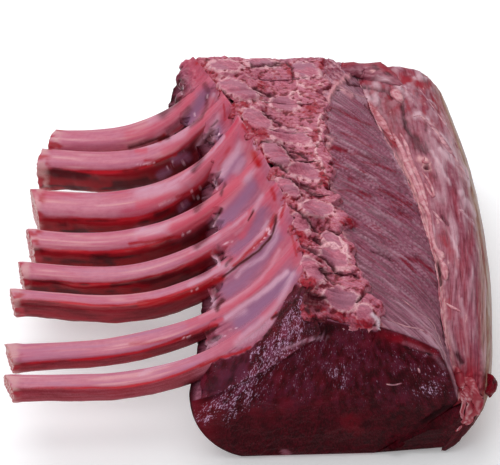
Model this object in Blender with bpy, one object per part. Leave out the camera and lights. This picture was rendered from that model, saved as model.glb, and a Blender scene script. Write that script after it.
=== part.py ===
# Venison rack: eight frenched ribs, their sawn vertebrae, the eye of loin and its cap.
#
# The rack lies on its outer side. X runs across it, from the bone ends on the left to the
# back on the right. Y runs along the spine, from the loin end to the shoulder end. Z is up.
# Sizes are in millimetres and turn into metres when a mesh is made.

import math

import bmesh
import bpy

MM = 0.001
GAP = 0.3                    # space kept between neighbouring pieces
SIDE_GAP = 0.6               # space between a rib and the meat beside it
RIDGE_GAP = 0.6              # space from the ridge line to the pieces on either side of it
BED_GAP = 0.5                # space under the ribs and the meat between them

# Whole rack
FRONT = -2.5                 # the cut face of the loin end bulges this far
LENGTH = 238.0               # along the spine, to the cut face of the shoulder end
TOP_LEVEL = 38.0             # top of the bare bones above the table
BED = 9.3                    # depth of the bed of the ribs below their top
CHINE_DEPTH = 11.0           # thickness of the sawn vertebrae
TOP_DIP = 0.5                # the bare bones sink by this much before they turn up
SLOPE_POWER = 2.05           # how sharply the ribs turn up towards the spine
MUSCLE_ROUND = 4.5           # rounding of the two cut ends

# Lines that run along the spine, as (distance from the loin end, value) pairs
RIDGE_X = ((0, 15.0), (60, 14.3), (120, 2.8), (180, -13.5), (238, -33.5))
RIDGE_Z = ((0, 80.0), (25, 83.0), (120, 84.0), (238, 81.0))
LEVEL_X = ((0, -74.0), (60, -88.0), (130, -108.0), (238, -128.0))
TRIM_X = ((0, -36.0), (30, -32.0), (90, -27.0), (140, -32.0), (190, -45.0), (238, -47.0))
VERTEBRA_X = ((0, 46.0), (45, 37.0), (110, 32.5), (190, 37.0), (238, 41.0))
VERTEBRA_Z = ((0, 73.0), (20, 77.5), (110, 80.0), (238, 78.0))
SEAM_X = ((0, 82.0), (30, 79.0), (70, 80.5), (117, 76.5), (170, 67.0), (238, 58.0))
SEAM_Z = ((0, 34.0), (12, 43.0), (35, 51.0), (90, 59.5), (150, 66.0), (238, 70.0))
BACK_X = ((0, 97.5), (30, 103.5), (80, 110.5), (150, 115.0), (238, 113.0))
BACK_Z = ((0, 33.0), (60, 38.0), (150, 43.0), (238, 46.0))
SHOULDER_Z = ((0, 8.0), (60, 10.0), (150, 12.0), (238, 14.0))
FOOT_LEFT = ((0, -6.0), (120, -2.0), (238, -22.0))
FOOT_RIGHT = ((0, 78.0), (238, 84.0))
PARTING_FOOT = ((0, 47.0), (238, 52.0))
LOIN_SWELL = ((0, 19.5), (12, 11.5), (35, 3.0), (60, 1.0), (238, 0.0))
SWELL_END = 0.7              # from this share of the inner face on, the swell rounds down to the seam

# Ribs, from the shoulder end to the loin end
TIP_Y = (224.0, 203.5, 159.5, 124.5, 96.5, 75.5, 32.5, 12.5)
ROOT_Y = (202.0, 178.0, 143.0, 112.5, 86.5, 64.5, 37.0, 12.5)
HEAD_SWING = (7.0, 9.0, 26.0, 14.0, 12.0, 18.0, 15.0, 22.0)
TIP_X = (-114.0, -119.0, -118.5, -117.0, -118.5, -120.5, -117.0, -115.0)
TIP_SLANT = (0.25, 0.15, -0.30, -0.35, -0.30, -0.30, -0.40, -0.45)
BARE_WIDTH = (17.0, 19.5, 23.0, 16.5, 14.0, 11.5, 13.5, 12.0)
BARE_HEIGHT = (11.0, 20.0, 17.5, 17.0, 14.0, 11.0, 8.5, 9.0)
RIB_SQUARE = 0.55            # 1 would make the section of a rib round, 0 square
ROOT_WIDTH = (10.0, 11.0, 12.0, 12.0, 11.0, 10.0, 10.0, 9.5)
RIBS = len(TIP_Y)

# Meat between the ribs, the fat strip in the seam and the fat on the back
PANEL_SINK = 1.9             # how far the panels lie below the tops of the ribs
STRIP_HALF = 2.0             # half the width of the strip of fat in the seam
STRIP_DEEP = 3.0             # depth of the groove that holds it
FAT_THICK = 3.0              # thickness of the fat on the back
CAP_SHARE = 0.30             # thickness of the cap, as a share of the way inwards
TAG_SIZE = (6.0, 4.6, 6.0)   # depth, half length and half height of the tag of meat
TAG_Y = 2.0                  # where the tag stands out of the back

# Facets
RIB_STEPS = 18
RIB_ROUND = 10
BED_STEPS = 8
STATIONS = 20
PANEL_ACROSS = 4


def clear_scene():
    for item in list(bpy.data.objects):
        bpy.data.objects.remove(item, do_unlink=True)


def along(line, y):
    """Value of a line at y: a smooth curve through its pairs."""
    y = min(max(y, line[0][0]), line[-1][0])
    k = 0
    while k < len(line) - 2 and y > line[k + 1][0]:
        k += 1
    (y0, v0), (y1, v1) = line[k], line[k + 1]
    before = line[k - 1] if k > 0 else (2 * y0 - y1, 2 * v0 - v1)
    after = line[k + 2] if k + 2 < len(line) else (2 * y1 - y0, 2 * v1 - v0)
    m0 = (v1 - before[1]) / (y1 - before[0])
    m1 = (after[1] - v0) / (after[0] - y0)
    h = y1 - y0
    t = (y - y0) / h
    a = 2 * t ** 3 - 3 * t ** 2 + 1
    b = t ** 3 - 2 * t ** 2 + t
    c = -2 * t ** 3 + 3 * t ** 2
    d = t ** 3 - t ** 2
    return a * v0 + b * h * m0 + c * v1 + d * h * m1


def mix(a, b, t):
    return a + (b - a) * t


def ease(t):
    t = min(max(t, 0.0), 1.0)
    return t * t * (3 - 2 * t)


# ---- The surface on which the ribs lie ----

def rise(x, y):
    """Share of the way from the level stretch up to the ridge."""
    start = along(LEVEL_X, y)
    return max(0.0, (x - start) / (along(RIDGE_X, y) - start))


def top_height(x, y):
    base = TOP_LEVEL - TOP_DIP * ease((x + 118.0) / 45.0)
    return base + (along(RIDGE_Z, y) - base) * rise(x, y) ** SLOPE_POWER


def below_top(x, y, depth):
    """The point that lies `depth` under the rib tops, measured square to their slope."""
    slope = (top_height(x + 0.5, y) - top_height(x - 0.5, y))
    size = math.hypot(slope, 1.0)
    return (x + depth * slope / size, y, top_height(x, y) - depth / size)


# ---- Ribs ----

def rib_middle(i, x, y_near):
    """Y of the middle of rib i at x."""
    t = ease((x + 128.0) / 85.0)
    swing = min(rise(x, y_near), 1.0) ** 6
    return mix(TIP_Y[i], ROOT_Y[i], t) + HEAD_SWING[i] * swing


def rib_width(i, x, y_near):
    t = ease((x + 60.0) / 40.0)
    head = 1.0 - 0.25 * min(rise(x, y_near), 1.0) ** 4
    tip = 1.0 + 0.06 * ease((-95.0 - x) / 25.0)
    return mix(BARE_WIDTH[i], ROOT_WIDTH[i], t) * head * tip


def rib_height(i, x):
    """Bare height up to the meat, and the height that fits the bed from there on."""
    meat = along(TRIM_X, ROOT_Y[i]) - 5.0
    return mix(BARE_HEIGHT[i], BED - BED_GAP, ease((x - meat) / 14.0 + 1.0))


def meet_ridge(side):
    """X at which a line that crosses the slope, Y = side(X), meets the ridge."""
    x = 0.0
    for _ in range(40):
        x = 0.5 * (x + along(RIDGE_X, side(x)) - RIDGE_GAP)
    return x


def rib_point(i, u, angle):
    """A point on rib i: u from the tip (0) to the spine (1), angle around its section."""
    c = math.cos(angle)
    s = math.sin(angle)
    across = math.copysign(abs(c) ** RIB_SQUARE, c)
    depth = 0.5 - 0.5 * math.copysign(abs(s) ** RIB_SQUARE, s)
    near = ROOT_Y[i]

    def side(x):
        return rib_middle(i, x, near) + across * rib_width(i, x, near) / 2

    tip = TIP_X[i] + TIP_SLANT[i] * across * BARE_WIDTH[i] / 2
    x = mix(tip, meet_ridge(side), u)
    return below_top(x, side(x), depth * rib_height(i, x))


def rib_rings(i):
    rings = []
    for k in range(RIB_STEPS + 1):
        u = k / RIB_STEPS
        ring = []
        for n in range(RIB_ROUND):
            ring.append(rib_point(i, u, 2 * math.pi * (n + 0.5) / RIB_ROUND))
        rings.append(ring)
    return rings


# ---- Meat between the ribs ----

def panel_rings(near_side, far_side, sink_near, sink_far):
    """Rings of a panel from its trimmed edge to the spine, between two Y borders."""
    rings = []
    for k in range(BED_STEPS + 1):
        u = k / BED_STEPS
        upper = []
        lower = []
        for n in range(PANEL_ACROSS + 1):
            v = n / PANEL_ACROSS

            def side(x):
                return mix(near_side(x), far_side(x), v)

            trim = along(TRIM_X, side(-30.0))
            x = mix(trim + 2.5 + 1.5 * math.sin(0.9 * side(-30.0)), meet_ridge(side), u)
            sink = mix(sink_near(u), sink_far(u), v) + 0.9 * math.sin(math.pi * v)
            sink += 3.0 * (1 - ease(u / 0.18))
            upper.append(below_top(x, side(x), sink))
            lower.append(below_top(x, side(x), BED - BED_GAP))
        rings.append(lower + upper[::-1])
    return rings


# ---- Cross-sections that run along the spine ----

def end_inset(y):
    """How far the outline draws in close to a cut end."""
    d = min(y - FRONT, LENGTH - y)
    if d >= MUSCLE_ROUND:
        return 0.0
    return MUSCLE_ROUND * 0.45 * (1 - math.sqrt(max(0.0, 1 - (1 - d / MUSCLE_ROUND) ** 2)))


def seat_points(y):
    """The seat of the vertebrae, from the ribs' bed to the flat inner face."""
    x_v = along(VERTEBRA_X, y)
    z_v = along(VERTEBRA_Z, y)
    left = below_top(along(RIDGE_X, y) + RIDGE_GAP, y, BED)
    right = (x_v, y, z_v - CHINE_DEPTH)
    return left, right


def parting(y, t, side):
    """The border between loin and cap, from the seam (t=0) down to the foot (t=1).

    It is shifted square to its run, towards the loin (side -1) or the cap (side 1).
    """
    def line(t):
        x = mix(along(SEAM_X, y), along(PARTING_FOOT, y), t ** 1.25)
        return x, mix(along(SEAM_Z, y) - STRIP_DEEP, end_inset(y), t)

    (xa, za), (xb, zb) = line(max(t - 0.02, 0.0)), line(min(t + 0.02, 1.0))
    size = math.hypot(xb - xa, zb - za)
    x, z = line(t)
    shift = side * GAP
    return x + shift * (za - zb) / size, z + shift * (xb - xa) / size


def swell_shape(t):
    """Rises evenly from the vertebrae (t=0) and rounds down to nothing at the seam (t=1)."""
    return t - max(0.0, (t - SWELL_END) / (1 - SWELL_END)) ** 1.6


def loin_outline(y):
    inset = end_inset(y)
    points = []
    start = along(TRIM_X, y)
    end = along(RIDGE_X, y)
    for k in range(BED_STEPS + 1):
        x = mix(start, end, k / BED_STEPS)
        points.append(below_top(x, y, BED + 0.6 * inset))
    left, right = seat_points(y)
    for k in (1, 2, 3):
        t = k / 3
        drop = 0.6 * inset
        points.append((mix(left[0], right[0] + GAP, t), y, mix(left[2], right[2], t) - drop))
    x_v = along(VERTEBRA_X, y) + GAP
    z_v = along(VERTEBRA_Z, y) - 0.5
    x_s = along(SEAM_X, y)
    z_s = along(SEAM_Z, y)
    for k in range(9):
        t = k / 8
        bulge = 2.2 * math.sin(math.pi * t) + along(LOIN_SWELL, y) * swell_shape(t)
        x = mix(x_v, x_s - STRIP_HALF - GAP, t)
        points.append((x, y, mix(z_v, z_s, t) + bulge - inset))
    for k in range(6):
        x, z = parting(y, k / 5, -1)
        points.append((x, y, max(z, inset)))
    foot_r = along(PARTING_FOOT, y)
    foot_l = along(FOOT_LEFT, y)
    for t in (0.33, 0.67):
        points.append((mix(foot_r, foot_l, t), y, inset))
    top = points[0]
    wall = along(TRIM_X, y)
    for k in range(5):
        t = k / 4.5
        a = t * math.pi / 2
        x = mix(foot_l, wall, math.sin(a) ** 0.9)
        z = top[2] * 0.93 * (1 - math.cos(a)) ** 0.9
        points.append((x + inset * t, y, max(z, inset)))
    return points


def back_points(y):
    """The outside of the cap, from the seam over the back and down to the table."""
    inset = end_inset(y)
    points = []
    x_s = along(SEAM_X, y)
    z_s = along(SEAM_Z, y)
    x_b = along(BACK_X, y) - FAT_THICK
    z_b = along(BACK_Z, y)
    lift = along(SHOULDER_Z, y)
    for k in range(6):
        t = k / 5
        x = mix(x_s + STRIP_HALF + GAP, x_b, math.sin(t * math.pi / 2))
        crown = lift * 0.45 * math.sin(math.pi * t ** 0.8)
        z = mix(z_b, z_s, math.cos(t * math.pi / 2) ** 0.85) + crown
        points.append((x - inset * t, z - inset))
    foot = along(FOOT_RIGHT, y)
    for k in range(1, 6):
        a = k / 5 * math.pi / 2
        x = mix(x_b, foot, (1 - math.cos(a)) ** 1.1)
        z = z_b * (1 - math.sin(a)) ** 1.1
        points.append((x - inset, max(z, inset)))
    return points


def inwards(y, point, share, more):
    """A point of the outside drawn towards the middle of the muscle below."""
    x_c, z_c = parting(y, 0.5, 0)
    dx = x_c + 6.0 - point[0]
    dz = z_c - point[1]
    share += more / math.hypot(dx, dz)
    return point[0] + dx * share, max(point[1] + dz * share, end_inset(y))


def cap_outline(y):
    """The cap: a layer over the back, thinner towards the table."""
    outer = back_points(y)
    inner = []
    for k in range(10, 0, -1):
        inner.append(inwards(y, outer[k], CAP_SHARE * (1.0 - 0.06 * (k - 1)), 0.0))
    edge = [parting(y, 0.10, 1), parting(y, 0.0, 1)]
    return [(x, y, z) for x, z in outer + inner + edge]


def side_outline(y):
    """The muscle between the loin and the cap."""
    outer = back_points(y)
    points = []
    for k in range(1, 11):
        share = CAP_SHARE * (1.0 - 0.06 * (k - 1))
        points.append(inwards(y, outer[k], share, 3 * GAP))
    inset = end_inset(y)
    points.append((mix(points[-1][0], along(PARTING_FOOT, y), 0.5), inset))
    for t in (1.0, 0.8, 0.6, 0.4, 0.22):
        x, z = parting(y, t, 1)
        points.append((x, max(z, inset)))
    return [(x, y, z) for x, z in points]


def fat_outline(y):
    """A layer on the back of the cap, from its shoulder down towards the table."""
    inner = back_points(y)
    outer = []
    lower = []
    for k in range(4, 10):
        (xa, za), (x, z), (xb, zb) = inner[k - 1:k + 2]
        size = math.hypot(xb - xa, zb - za)
        nx = (za - zb) / size
        nz = (xb - xa) / size
        share = math.sin(math.pi * (k - 3.4) / 6.2)
        lower.append((x + nx * 1.5 * GAP, y, z + nz * 1.5 * GAP))
        thick = GAP + FAT_THICK * share
        outer.append((x + nx * thick, y, z + nz * thick))
    return outer + lower[::-1]


def tag_rings():
    """The tag of meat that stands out of the back close to the loin end."""
    rings = []
    x_0 = along(BACK_X, TAG_Y) - FAT_THICK + 0.9
    z_0 = along(BACK_Z, TAG_Y) + 1.0
    for k in range(1, 8):
        a = math.pi * k / 8
        ring = []
        for n in range(8):
            b = 2 * math.pi * n / 8
            width = TAG_SIZE[0] * math.sin(a) * (1 + math.cos(b)) * 0.5
            height = TAG_SIZE[2] * math.sin(a) * math.sin(b)
            ring.append((x_0 + width, TAG_Y - TAG_SIZE[1] * math.cos(a), z_0 + height))
        rings.append(ring)
    return rings


def strip_outline(y):
    """The strip of fat in the groove of the seam."""
    x_s = along(SEAM_X, y)
    z_s = along(SEAM_Z, y)
    swell = 1.0 + 0.25 * math.sin(y * 0.21) + 0.15 * math.sin(y * 0.47 + 1.0)
    half = STRIP_HALF * min(1.0, 0.85 * swell)
    rise_up = 1.1 * swell
    return [
        (x_s - half, y, z_s - 0.2),
        (x_s - 0.45 * half, y, z_s - STRIP_DEEP * 0.62),
        (x_s + 0.45 * half, y, z_s - STRIP_DEEP * 0.62),
        (x_s + half, y, z_s - 0.2),
        (x_s + 0.55 * half, y, z_s + rise_up),
        (x_s - 0.55 * half, y, z_s + rise_up),
    ]


# ---- Sawn vertebrae ----

def chine_rings(i):
    """Rings of one vertebra along Y, from its near side to its far side."""
    pitch = (LENGTH - 1.0) / RIBS
    y_near = (RIBS - 1 - i) * pitch + GAP / 2
    y_far = y_near + pitch - GAP
    steps = 6
    rings = []
    for k in range(steps + 1):
        v = k / steps
        y = mix(y_near, y_far, v)
        edge = 1 - abs(2 * v - 1) ** 4
        x_r = along(RIDGE_X, y) + RIDGE_GAP
        x_v = along(VERTEBRA_X, y) - GAP
        z_v = along(VERTEBRA_Z, y)
        z_r = top_height(x_r, y)
        ring = []
        across = 7
        for n in range(across + 1):
            t = n / across
            lobes = 1.5 * math.sin(3 * math.pi * t - 0.6) * (1 if t < 0.4 else 0.7)
            z = mix(z_r, z_v, t) + 1.4 + lobes * edge - 3.6 * (1 - edge)
            if n == across:
                z = z_v - 1.2 - 1.5 * (1 - edge)
            if n == 0:
                ring.append(below_top(x_r, y, 1.2 + 1.5 * (1 - edge)))
            else:
                ring.append((mix(x_r + 1.0, x_v, t), y, z))
        left, right = seat_points(y)
        ring.append((right[0] - GAP, y, right[2] + 2 * GAP))
        for t in (0.5, 0.0):
            x = mix(left[0], right[0], t) + (1 - t) * 2 * GAP
            ring.append((x, y, mix(left[2], right[2], t) + 2 * GAP))
        rings.append(ring)
    return rings


# ---- Meshes ----

def make_object(name, rings, colour, roughness):
    """A closed body through rings of equal length, with a flat face at each end."""
    mesh = bpy.data.meshes.new(name)
    bm = bmesh.new()
    loops = []
    for ring in rings:
        loops.append([bm.verts.new(point) for point in ring])
    count = len(loops[0])
    for a, b in zip(loops, loops[1:]):
        for k in range(count):
            n = (k + 1) % count
            bm.faces.new((a[k], a[n], b[n], b[k]))
    bm.faces.new(loops[0][::-1])
    bm.faces.new(loops[-1])
    bm.normal_update()
    bmesh.ops.triangulate(bm, faces=[f for f in bm.faces if len(f.verts) > 4])
    bmesh.ops.recalc_face_normals(bm, faces=bm.faces[:])
    bmesh.ops.scale(bm, vec=(MM, MM, MM), verts=bm.verts[:])
    bm.to_mesh(mesh)
    bm.free()
    for face in mesh.polygons:
        face.use_smooth = True
    mesh.set_sharp_from_angle(angle=math.radians(40))
    body = bpy.data.objects.new(name, mesh)
    bpy.context.scene.collection.objects.link(body)
    material = bpy.data.materials.new(name)
    material.use_nodes = True
    shader = material.node_tree.nodes["Principled BSDF"]
    shader.inputs["Base Color"].default_value = (*colour, 1.0)
    shader.inputs["Roughness"].default_value = roughness
    shader.inputs["Metallic"].default_value = 0.0
    mesh.materials.append(material)
    return body


def stations(first, last, count):
    """Y values that crowd towards both ends, where the outline draws in."""
    values = []
    for k in range(count + 1):
        t = k / count
        bunched = 0.5 - 0.5 * math.cos(math.pi * t)
        values.append(mix(first, last, mix(t, bunched, 0.75)))
    return values


def centre_on_origin(bodies):
    """Moves every piece so that the middle of the underside is at the origin."""
    low = [1e9] * 3
    high = [-1e9] * 3
    for body in bodies:
        for vert in body.data.vertices:
            for k in range(3):
                low[k] = min(low[k], vert.co[k])
                high[k] = max(high[k], vert.co[k])
    shift = ((low[0] + high[0]) / 2, (low[1] + high[1]) / 2, low[2])
    for body in bodies:
        for vert in body.data.vertices:
            vert.co = [vert.co[k] - shift[k] for k in range(3)]


def build():
    clear_scene()
    muscle = (0.13, 0.012, 0.018)
    bodies = []
    whole = stations(FRONT, LENGTH, STATIONS)
    bodies.append(make_object("loin", [loin_outline(y) for y in whole], muscle, 0.35))
    bodies.append(make_object("cap", [cap_outline(y) for y in whole], (0.26, 0.07, 0.11), 0.35))
    bodies.append(make_object("side_muscle", [side_outline(y) for y in whole], muscle, 0.35))
    bodies.append(make_object("tag", tag_rings(), muscle, 0.35))
    back = [fat_outline(y) for y in whole[2:-2]]
    bodies.append(make_object("back_fat", back, (0.42, 0.25, 0.20), 0.4))
    seam = stations(4.0, LENGTH - 4.0, 26)
    bodies.append(make_object("seam_fat", [strip_outline(y) for y in seam], (0.62, 0.36, 0.36), 0.4))
    for i in range(RIBS):
        bodies.append(make_object("rib_%d" % (i + 1), rib_rings(i), (0.56, 0.26, 0.33), 0.35))
        bodies.append(make_object("chine_%d" % (i + 1), chine_rings(i), (0.45, 0.16, 0.21), 0.5))

    def far_edge(i):
        return lambda x: rib_middle(i, x, ROOT_Y[i]) + rib_width(i, x, ROOT_Y[i]) / 2 + SIDE_GAP

    def near_edge(i):
        return lambda x: rib_middle(i, x, ROOT_Y[i]) - rib_width(i, x, ROOT_Y[i]) / 2 - SIDE_GAP

    def even(u):
        return PANEL_SINK

    def slant(u):
        return mix(5.5, 6.5, ease(u))

    panel = (0.36, 0.12, 0.20)
    for i in range(RIBS - 1):
        rings = panel_rings(far_edge(i + 1), near_edge(i), even, even)
        bodies.append(make_object("between_%d" % (i + 1), rings, panel, 0.35))
    rings = panel_rings(lambda x: FRONT + 1.0, near_edge(RIBS - 1), slant, even)
    bodies.append(make_object("between_8", rings, muscle, 0.3))
    rings = panel_rings(far_edge(0), lambda x: LENGTH - 2.0, even, slant)
    bodies.append(make_object("shoulder_end", rings, panel, 0.35))
    centre_on_origin(bodies)


build()
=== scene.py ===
# %% [markdown]
# # A raw venison rack
# The object is a frenched rack of eight ribs, lying on its outer side. The bare bones point to
# the left, the sawn vertebrae stand along the ridge, and the dark cut face of the loin is near us.
# Meat could be sculpted by hand, but here nearly every surface follows a few lines that run along
# the spine. So each piece is worked out from those lines as a fine grid of points, and small
# lumps, streaks and stains are laid over it by noise. Sizes are in millimetres until a mesh is made.

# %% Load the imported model, which fixes the place and the size of every piece
import itertools
import math

import bmesh
import bpy
import numpy as np
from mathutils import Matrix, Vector
from mathutils.bvhtree import BVHTree


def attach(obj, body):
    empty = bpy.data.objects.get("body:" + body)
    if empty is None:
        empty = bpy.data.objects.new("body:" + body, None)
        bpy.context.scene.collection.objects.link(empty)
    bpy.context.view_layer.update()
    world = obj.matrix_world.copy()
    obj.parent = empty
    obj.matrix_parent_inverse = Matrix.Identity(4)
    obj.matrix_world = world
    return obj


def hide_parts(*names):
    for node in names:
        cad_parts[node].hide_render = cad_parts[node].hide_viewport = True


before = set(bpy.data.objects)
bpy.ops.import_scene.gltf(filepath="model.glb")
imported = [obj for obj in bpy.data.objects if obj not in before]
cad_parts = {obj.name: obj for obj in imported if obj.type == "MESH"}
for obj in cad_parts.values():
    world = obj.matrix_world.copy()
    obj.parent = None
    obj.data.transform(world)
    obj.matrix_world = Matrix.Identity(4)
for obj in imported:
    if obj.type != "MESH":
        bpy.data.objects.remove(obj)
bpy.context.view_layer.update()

# %% [markdown]
# ## The camera
# The photograph looks down on the rack at 35 degrees and a little to the right. The nearer ribs look
# bigger, so it was taken from close by. A camera with a 94 mm lens half a metre away shows the same
# narrowing, where a longer lens would make the far ribs too large.

# %% Camera at the photograph's angle
MM = 0.001
SHIFT = np.array([3.8, -117.75, 0.0])     # from the rack's own lines to the middle of its underside
VIEW_DOWN = math.radians(35.0)
VIEW_RIGHT = math.radians(2.0)
PHOTO = (500, 465)
FOCAL_PIXELS = 1312.0
EYE = np.array([-23.853, -425.151, 421.437])


def placed(name, data):
    """A new object in the scene."""
    body = bpy.data.objects.new(name, data)
    bpy.context.scene.collection.objects.link(body)
    return body


camera_data = bpy.data.cameras.new("camera")
camera_data.sensor_width = 36.0
camera_data.lens = 36.0 * FOCAL_PIXELS / PHOTO[0]
camera_data.clip_end = 20.0
camera = placed("camera", camera_data)
camera.location = [float(c) for c in (EYE + SHIFT) * MM]
camera.rotation_euler = (math.pi / 2 - VIEW_DOWN, 0.0, -VIEW_RIGHT)
bpy.context.scene.camera = camera

FORWARD = np.array([math.sin(VIEW_RIGHT) * math.cos(VIEW_DOWN),
                    math.cos(VIEW_RIGHT) * math.cos(VIEW_DOWN), -math.sin(VIEW_DOWN)])
RIGHTWARD = np.array([math.cos(VIEW_RIGHT), -math.sin(VIEW_RIGHT), 0.0])
UPWARD = np.cross(RIGHTWARD, FORWARD)


def seen_at(points):
    """Where points of the rack stand in the photograph, as columns and rows from its top left."""
    ray = points - EYE
    far = ray @ FORWARD
    column = PHOTO[0] / 2 + FOCAL_PIXELS * (ray @ RIGHTWARD) / far
    row = PHOTO[1] / 2 - FOCAL_PIXELS * (ray @ UPWARD) / far
    return column, row


print("lens:", round(camera_data.lens, 1), "mm")

# %% [markdown]
# ## The lines along the spine
# A few lines give the whole form: the ridge where the ribs meet the spine, the seam between the
# loin and the cap, the back, and the edge to which the meat was trimmed off the bones. Each line is
# a short row of pairs, distance from the near cut and value, joined by a smooth curve.

# %% Lines and the slope that the ribs lie on
FRONT = -2.5
LENGTH = 238.0
TOP_LEVEL = 38.0
BED = 9.3
CHINE_DEPTH = 11.0
TOP_DIP = 0.5
SLOPE_POWER = 2.05
SEAM_DROP = 0.45
STRIP_DEEP = 3.0
FAT_THICK = 3.0
CAP_SHARE = 0.30
GAP = 0.12

RIDGE_X = ((0, 15.0), (60, 14.3), (120, 2.8), (180, -13.5), (238, -33.5))
RIDGE_Z = ((0, 80.0), (25, 83.0), (120, 84.0), (238, 81.0))
LEVEL_X = ((0, -74.0), (60, -88.0), (130, -108.0), (238, -128.0))
TRIM_X = ((0, -36.0), (30, -32.0), (90, -27.0), (140, -29.0), (168, -29.0), (200, -45.0), (225, -46.0),
          (238, -42.0))
VERTEBRA_X = ((0, 46.0), (45, 37.0), (110, 32.5), (190, 37.0), (238, 41.0))
VERTEBRA_Z = ((0, 73.0), (20, 77.5), (110, 80.0), (238, 78.0))
SEAM_X = ((0, 82.0), (30, 79.0), (70, 80.5), (117, 76.5), (170, 67.0), (238, 58.0))
SEAM_Z = ((0, 34.0), (12, 43.0), (35, 51.0), (90, 59.5), (150, 66.0), (238, 70.0))
BACK_X = ((0, 97.5), (30, 103.5), (80, 110.5), (150, 115.0), (238, 113.0))
BACK_Z = ((0, 33.0), (60, 38.0), (150, 43.0), (238, 46.0))
SHOULDER_Z = ((0, 8.0), (60, 10.0), (150, 12.0), (238, 14.0))
FOOT_LEFT = ((0, -6.0), (120, -2.0), (238, -22.0))
FOOT_RIGHT = ((0, 78.0), (238, 84.0))
PARTING_FOOT = ((0, 47.0), (238, 52.0))
LOIN_SWELL = ((0, 19.5), (12, 11.5), (35, 3.0), (60, 1.0), (238, 0.0))
SWELL_END = 0.7


def along(line, y):
    """Values of a line at the distances y, on a smooth curve through its pairs."""
    where = np.array([p[0] for p in line], float)
    value = np.array([p[1] for p in line], float)
    if len(line) == 2:
        slope = np.full(2, (value[1] - value[0]) / (where[1] - where[0]))
    else:
        inner = (value[2:] - value[:-2]) / (where[2:] - where[:-2])
        first = (value[1] - value[0]) / (where[1] - where[0])
        last = (value[-1] - value[-2]) / (where[-1] - where[-2])
        slope = np.concatenate(([first], inner, [last]))
    y = np.clip(y, where[0], where[-1])
    k = np.clip(np.searchsorted(where, y, side="right") - 1, 0, len(where) - 2)
    width = where[k + 1] - where[k]
    t = (y - where[k]) / width
    return ((2 * t**3 - 3 * t**2 + 1) * value[k] + (t**3 - 2 * t**2 + t) * width * slope[k]
            + (3 * t**2 - 2 * t**3) * value[k + 1] + (t**3 - t**2) * width * slope[k + 1])


def mix(a, b, t):
    return a + (b - a) * t


def ease(t):
    t = np.clip(t, 0.0, 1.0)
    return t * t * (3 - 2 * t)


def between(low, high, value):
    """0 below low, 1 above high, with a soft step from one to the other."""
    return ease((value - low) / (high - low))


def rise(x, y):
    start = along(LEVEL_X, y)
    return np.maximum(0.0, (x - start) / (along(RIDGE_X, y) - start))


def top_height(x, y):
    base = TOP_LEVEL - TOP_DIP * ease((x + 118.0) / 45.0)
    return base + (along(RIDGE_Z, y) - base) * rise(x, y) ** SLOPE_POWER


def below_top(x, y, depth):
    """Points that lie `depth` under the tops of the ribs, square to their slope."""
    x, y, depth = np.broadcast_arrays(x, y, depth)
    slope = top_height(x + 0.5, y) - top_height(x - 0.5, y)
    size = np.hypot(slope, 1.0)
    return points(x + depth * slope / size, y, top_height(x, y) - depth / size)


def points(x, y, z):
    return np.stack(np.broadcast_arrays(x, y, z), axis=-1)


print("slope at the ridge:", round(float(top_height(12.0, 30.0) - top_height(11.0, 30.0)), 2), "mm a mm")

# %% [markdown]
# ## Noise
# Meat is uneven at every size. Blender has noise for textures, but a relief that moves points, and
# the stains that go with it, are easier to steer as numbers for each point. This is the usual
# gradient noise, written for whole arrays. A size with three values stretches it into fibres.

# %% Gradient noise and cells
DIRECTIONS = np.array([(1, 1, 0), (-1, 1, 0), (1, -1, 0), (-1, -1, 0), (1, 0, 1), (-1, 0, 1),
                       (1, 0, -1), (-1, 0, -1), (0, 1, 1), (0, -1, 1), (0, 1, -1), (0, -1, -1)], float)


def scrambled(i, j, k, seed):
    """A repeatable whole number for each corner of a grid of cubes."""
    h = (i * 374761393 + j * 668265263 + k * 1274126177 + seed * 974634777) & 0xFFFFFFFF
    h = ((h ^ (h >> 13)) * 1103515245) & 0xFFFFFFFF
    h = ((h ^ (h >> 16)) * 1103515245) & 0xFFFFFFFF
    return h ^ (h >> 15)


def noise(where, size, seed):
    """Smooth noise from about -1 to 1 with lumps of the given size."""
    q = where / np.asarray(size, float)
    cell = np.floor(q).astype(np.int64)
    f = q - cell
    w = f * f * f * (f * (f * 6 - 15) + 10)
    total = 0.0
    for corner in itertools.product((0, 1), repeat=3):
        pick = scrambled(*(cell[..., n] + corner[n] for n in range(3)), seed) % len(DIRECTIONS)
        x, y, z = (w[..., n] if corner[n] else 1 - w[..., n] for n in range(3))
        total = total + x * y * z * (DIRECTIONS[pick] * (f - corner)).sum(-1)
    return total


def layered(where, size, seed, layers=3, share=0.5):
    """Noise with finer noise on top of it."""
    size = np.asarray(size, float)
    total = 0.0
    weight = 1.0
    for n in range(layers):
        total = total + weight * noise(where, size / 2**n, seed + 17 * n)
        weight *= share
    return total


def cells(where, size, seed):
    """Distance to the nearest of scattered seeds, in cell sizes."""
    q = where / np.asarray(size, float)
    cell = np.floor(q).astype(np.int64)
    nearest = np.full(q.shape[:-1], 9.0)
    for step in itertools.product((-1, 0, 1), repeat=3):
        corner = [cell[..., n] + step[n] for n in range(3)]
        spot = np.stack([corner[n] + scrambled(*corner, seed + n) / 2**32 for n in range(3)], axis=-1)
        nearest = np.minimum(nearest, np.sqrt(((q - spot) ** 2).sum(-1)))
    return nearest


# %% [markdown]
# ## Places in the photograph
# Streaks, spots and edges of skin stand where the photograph shows them. A painted picture would tie
# them to one view, so they are short lists of numbers: paths and ovals, by column and row. A point of
# the rack takes a mark when it is seen near one of them, and every side keeps its finish.

# %% Paths and ovals by column and row
def table(text):
    """Rows of numbers from text: a semicolon ends a row, and commas join the numbers of a group."""
    def value(word):
        group = tuple(float(part) for part in word.split(","))
        return group if len(group) > 1 else group[0]

    return [[value(word) for word in row.split()] for row in text.split(";")]


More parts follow.
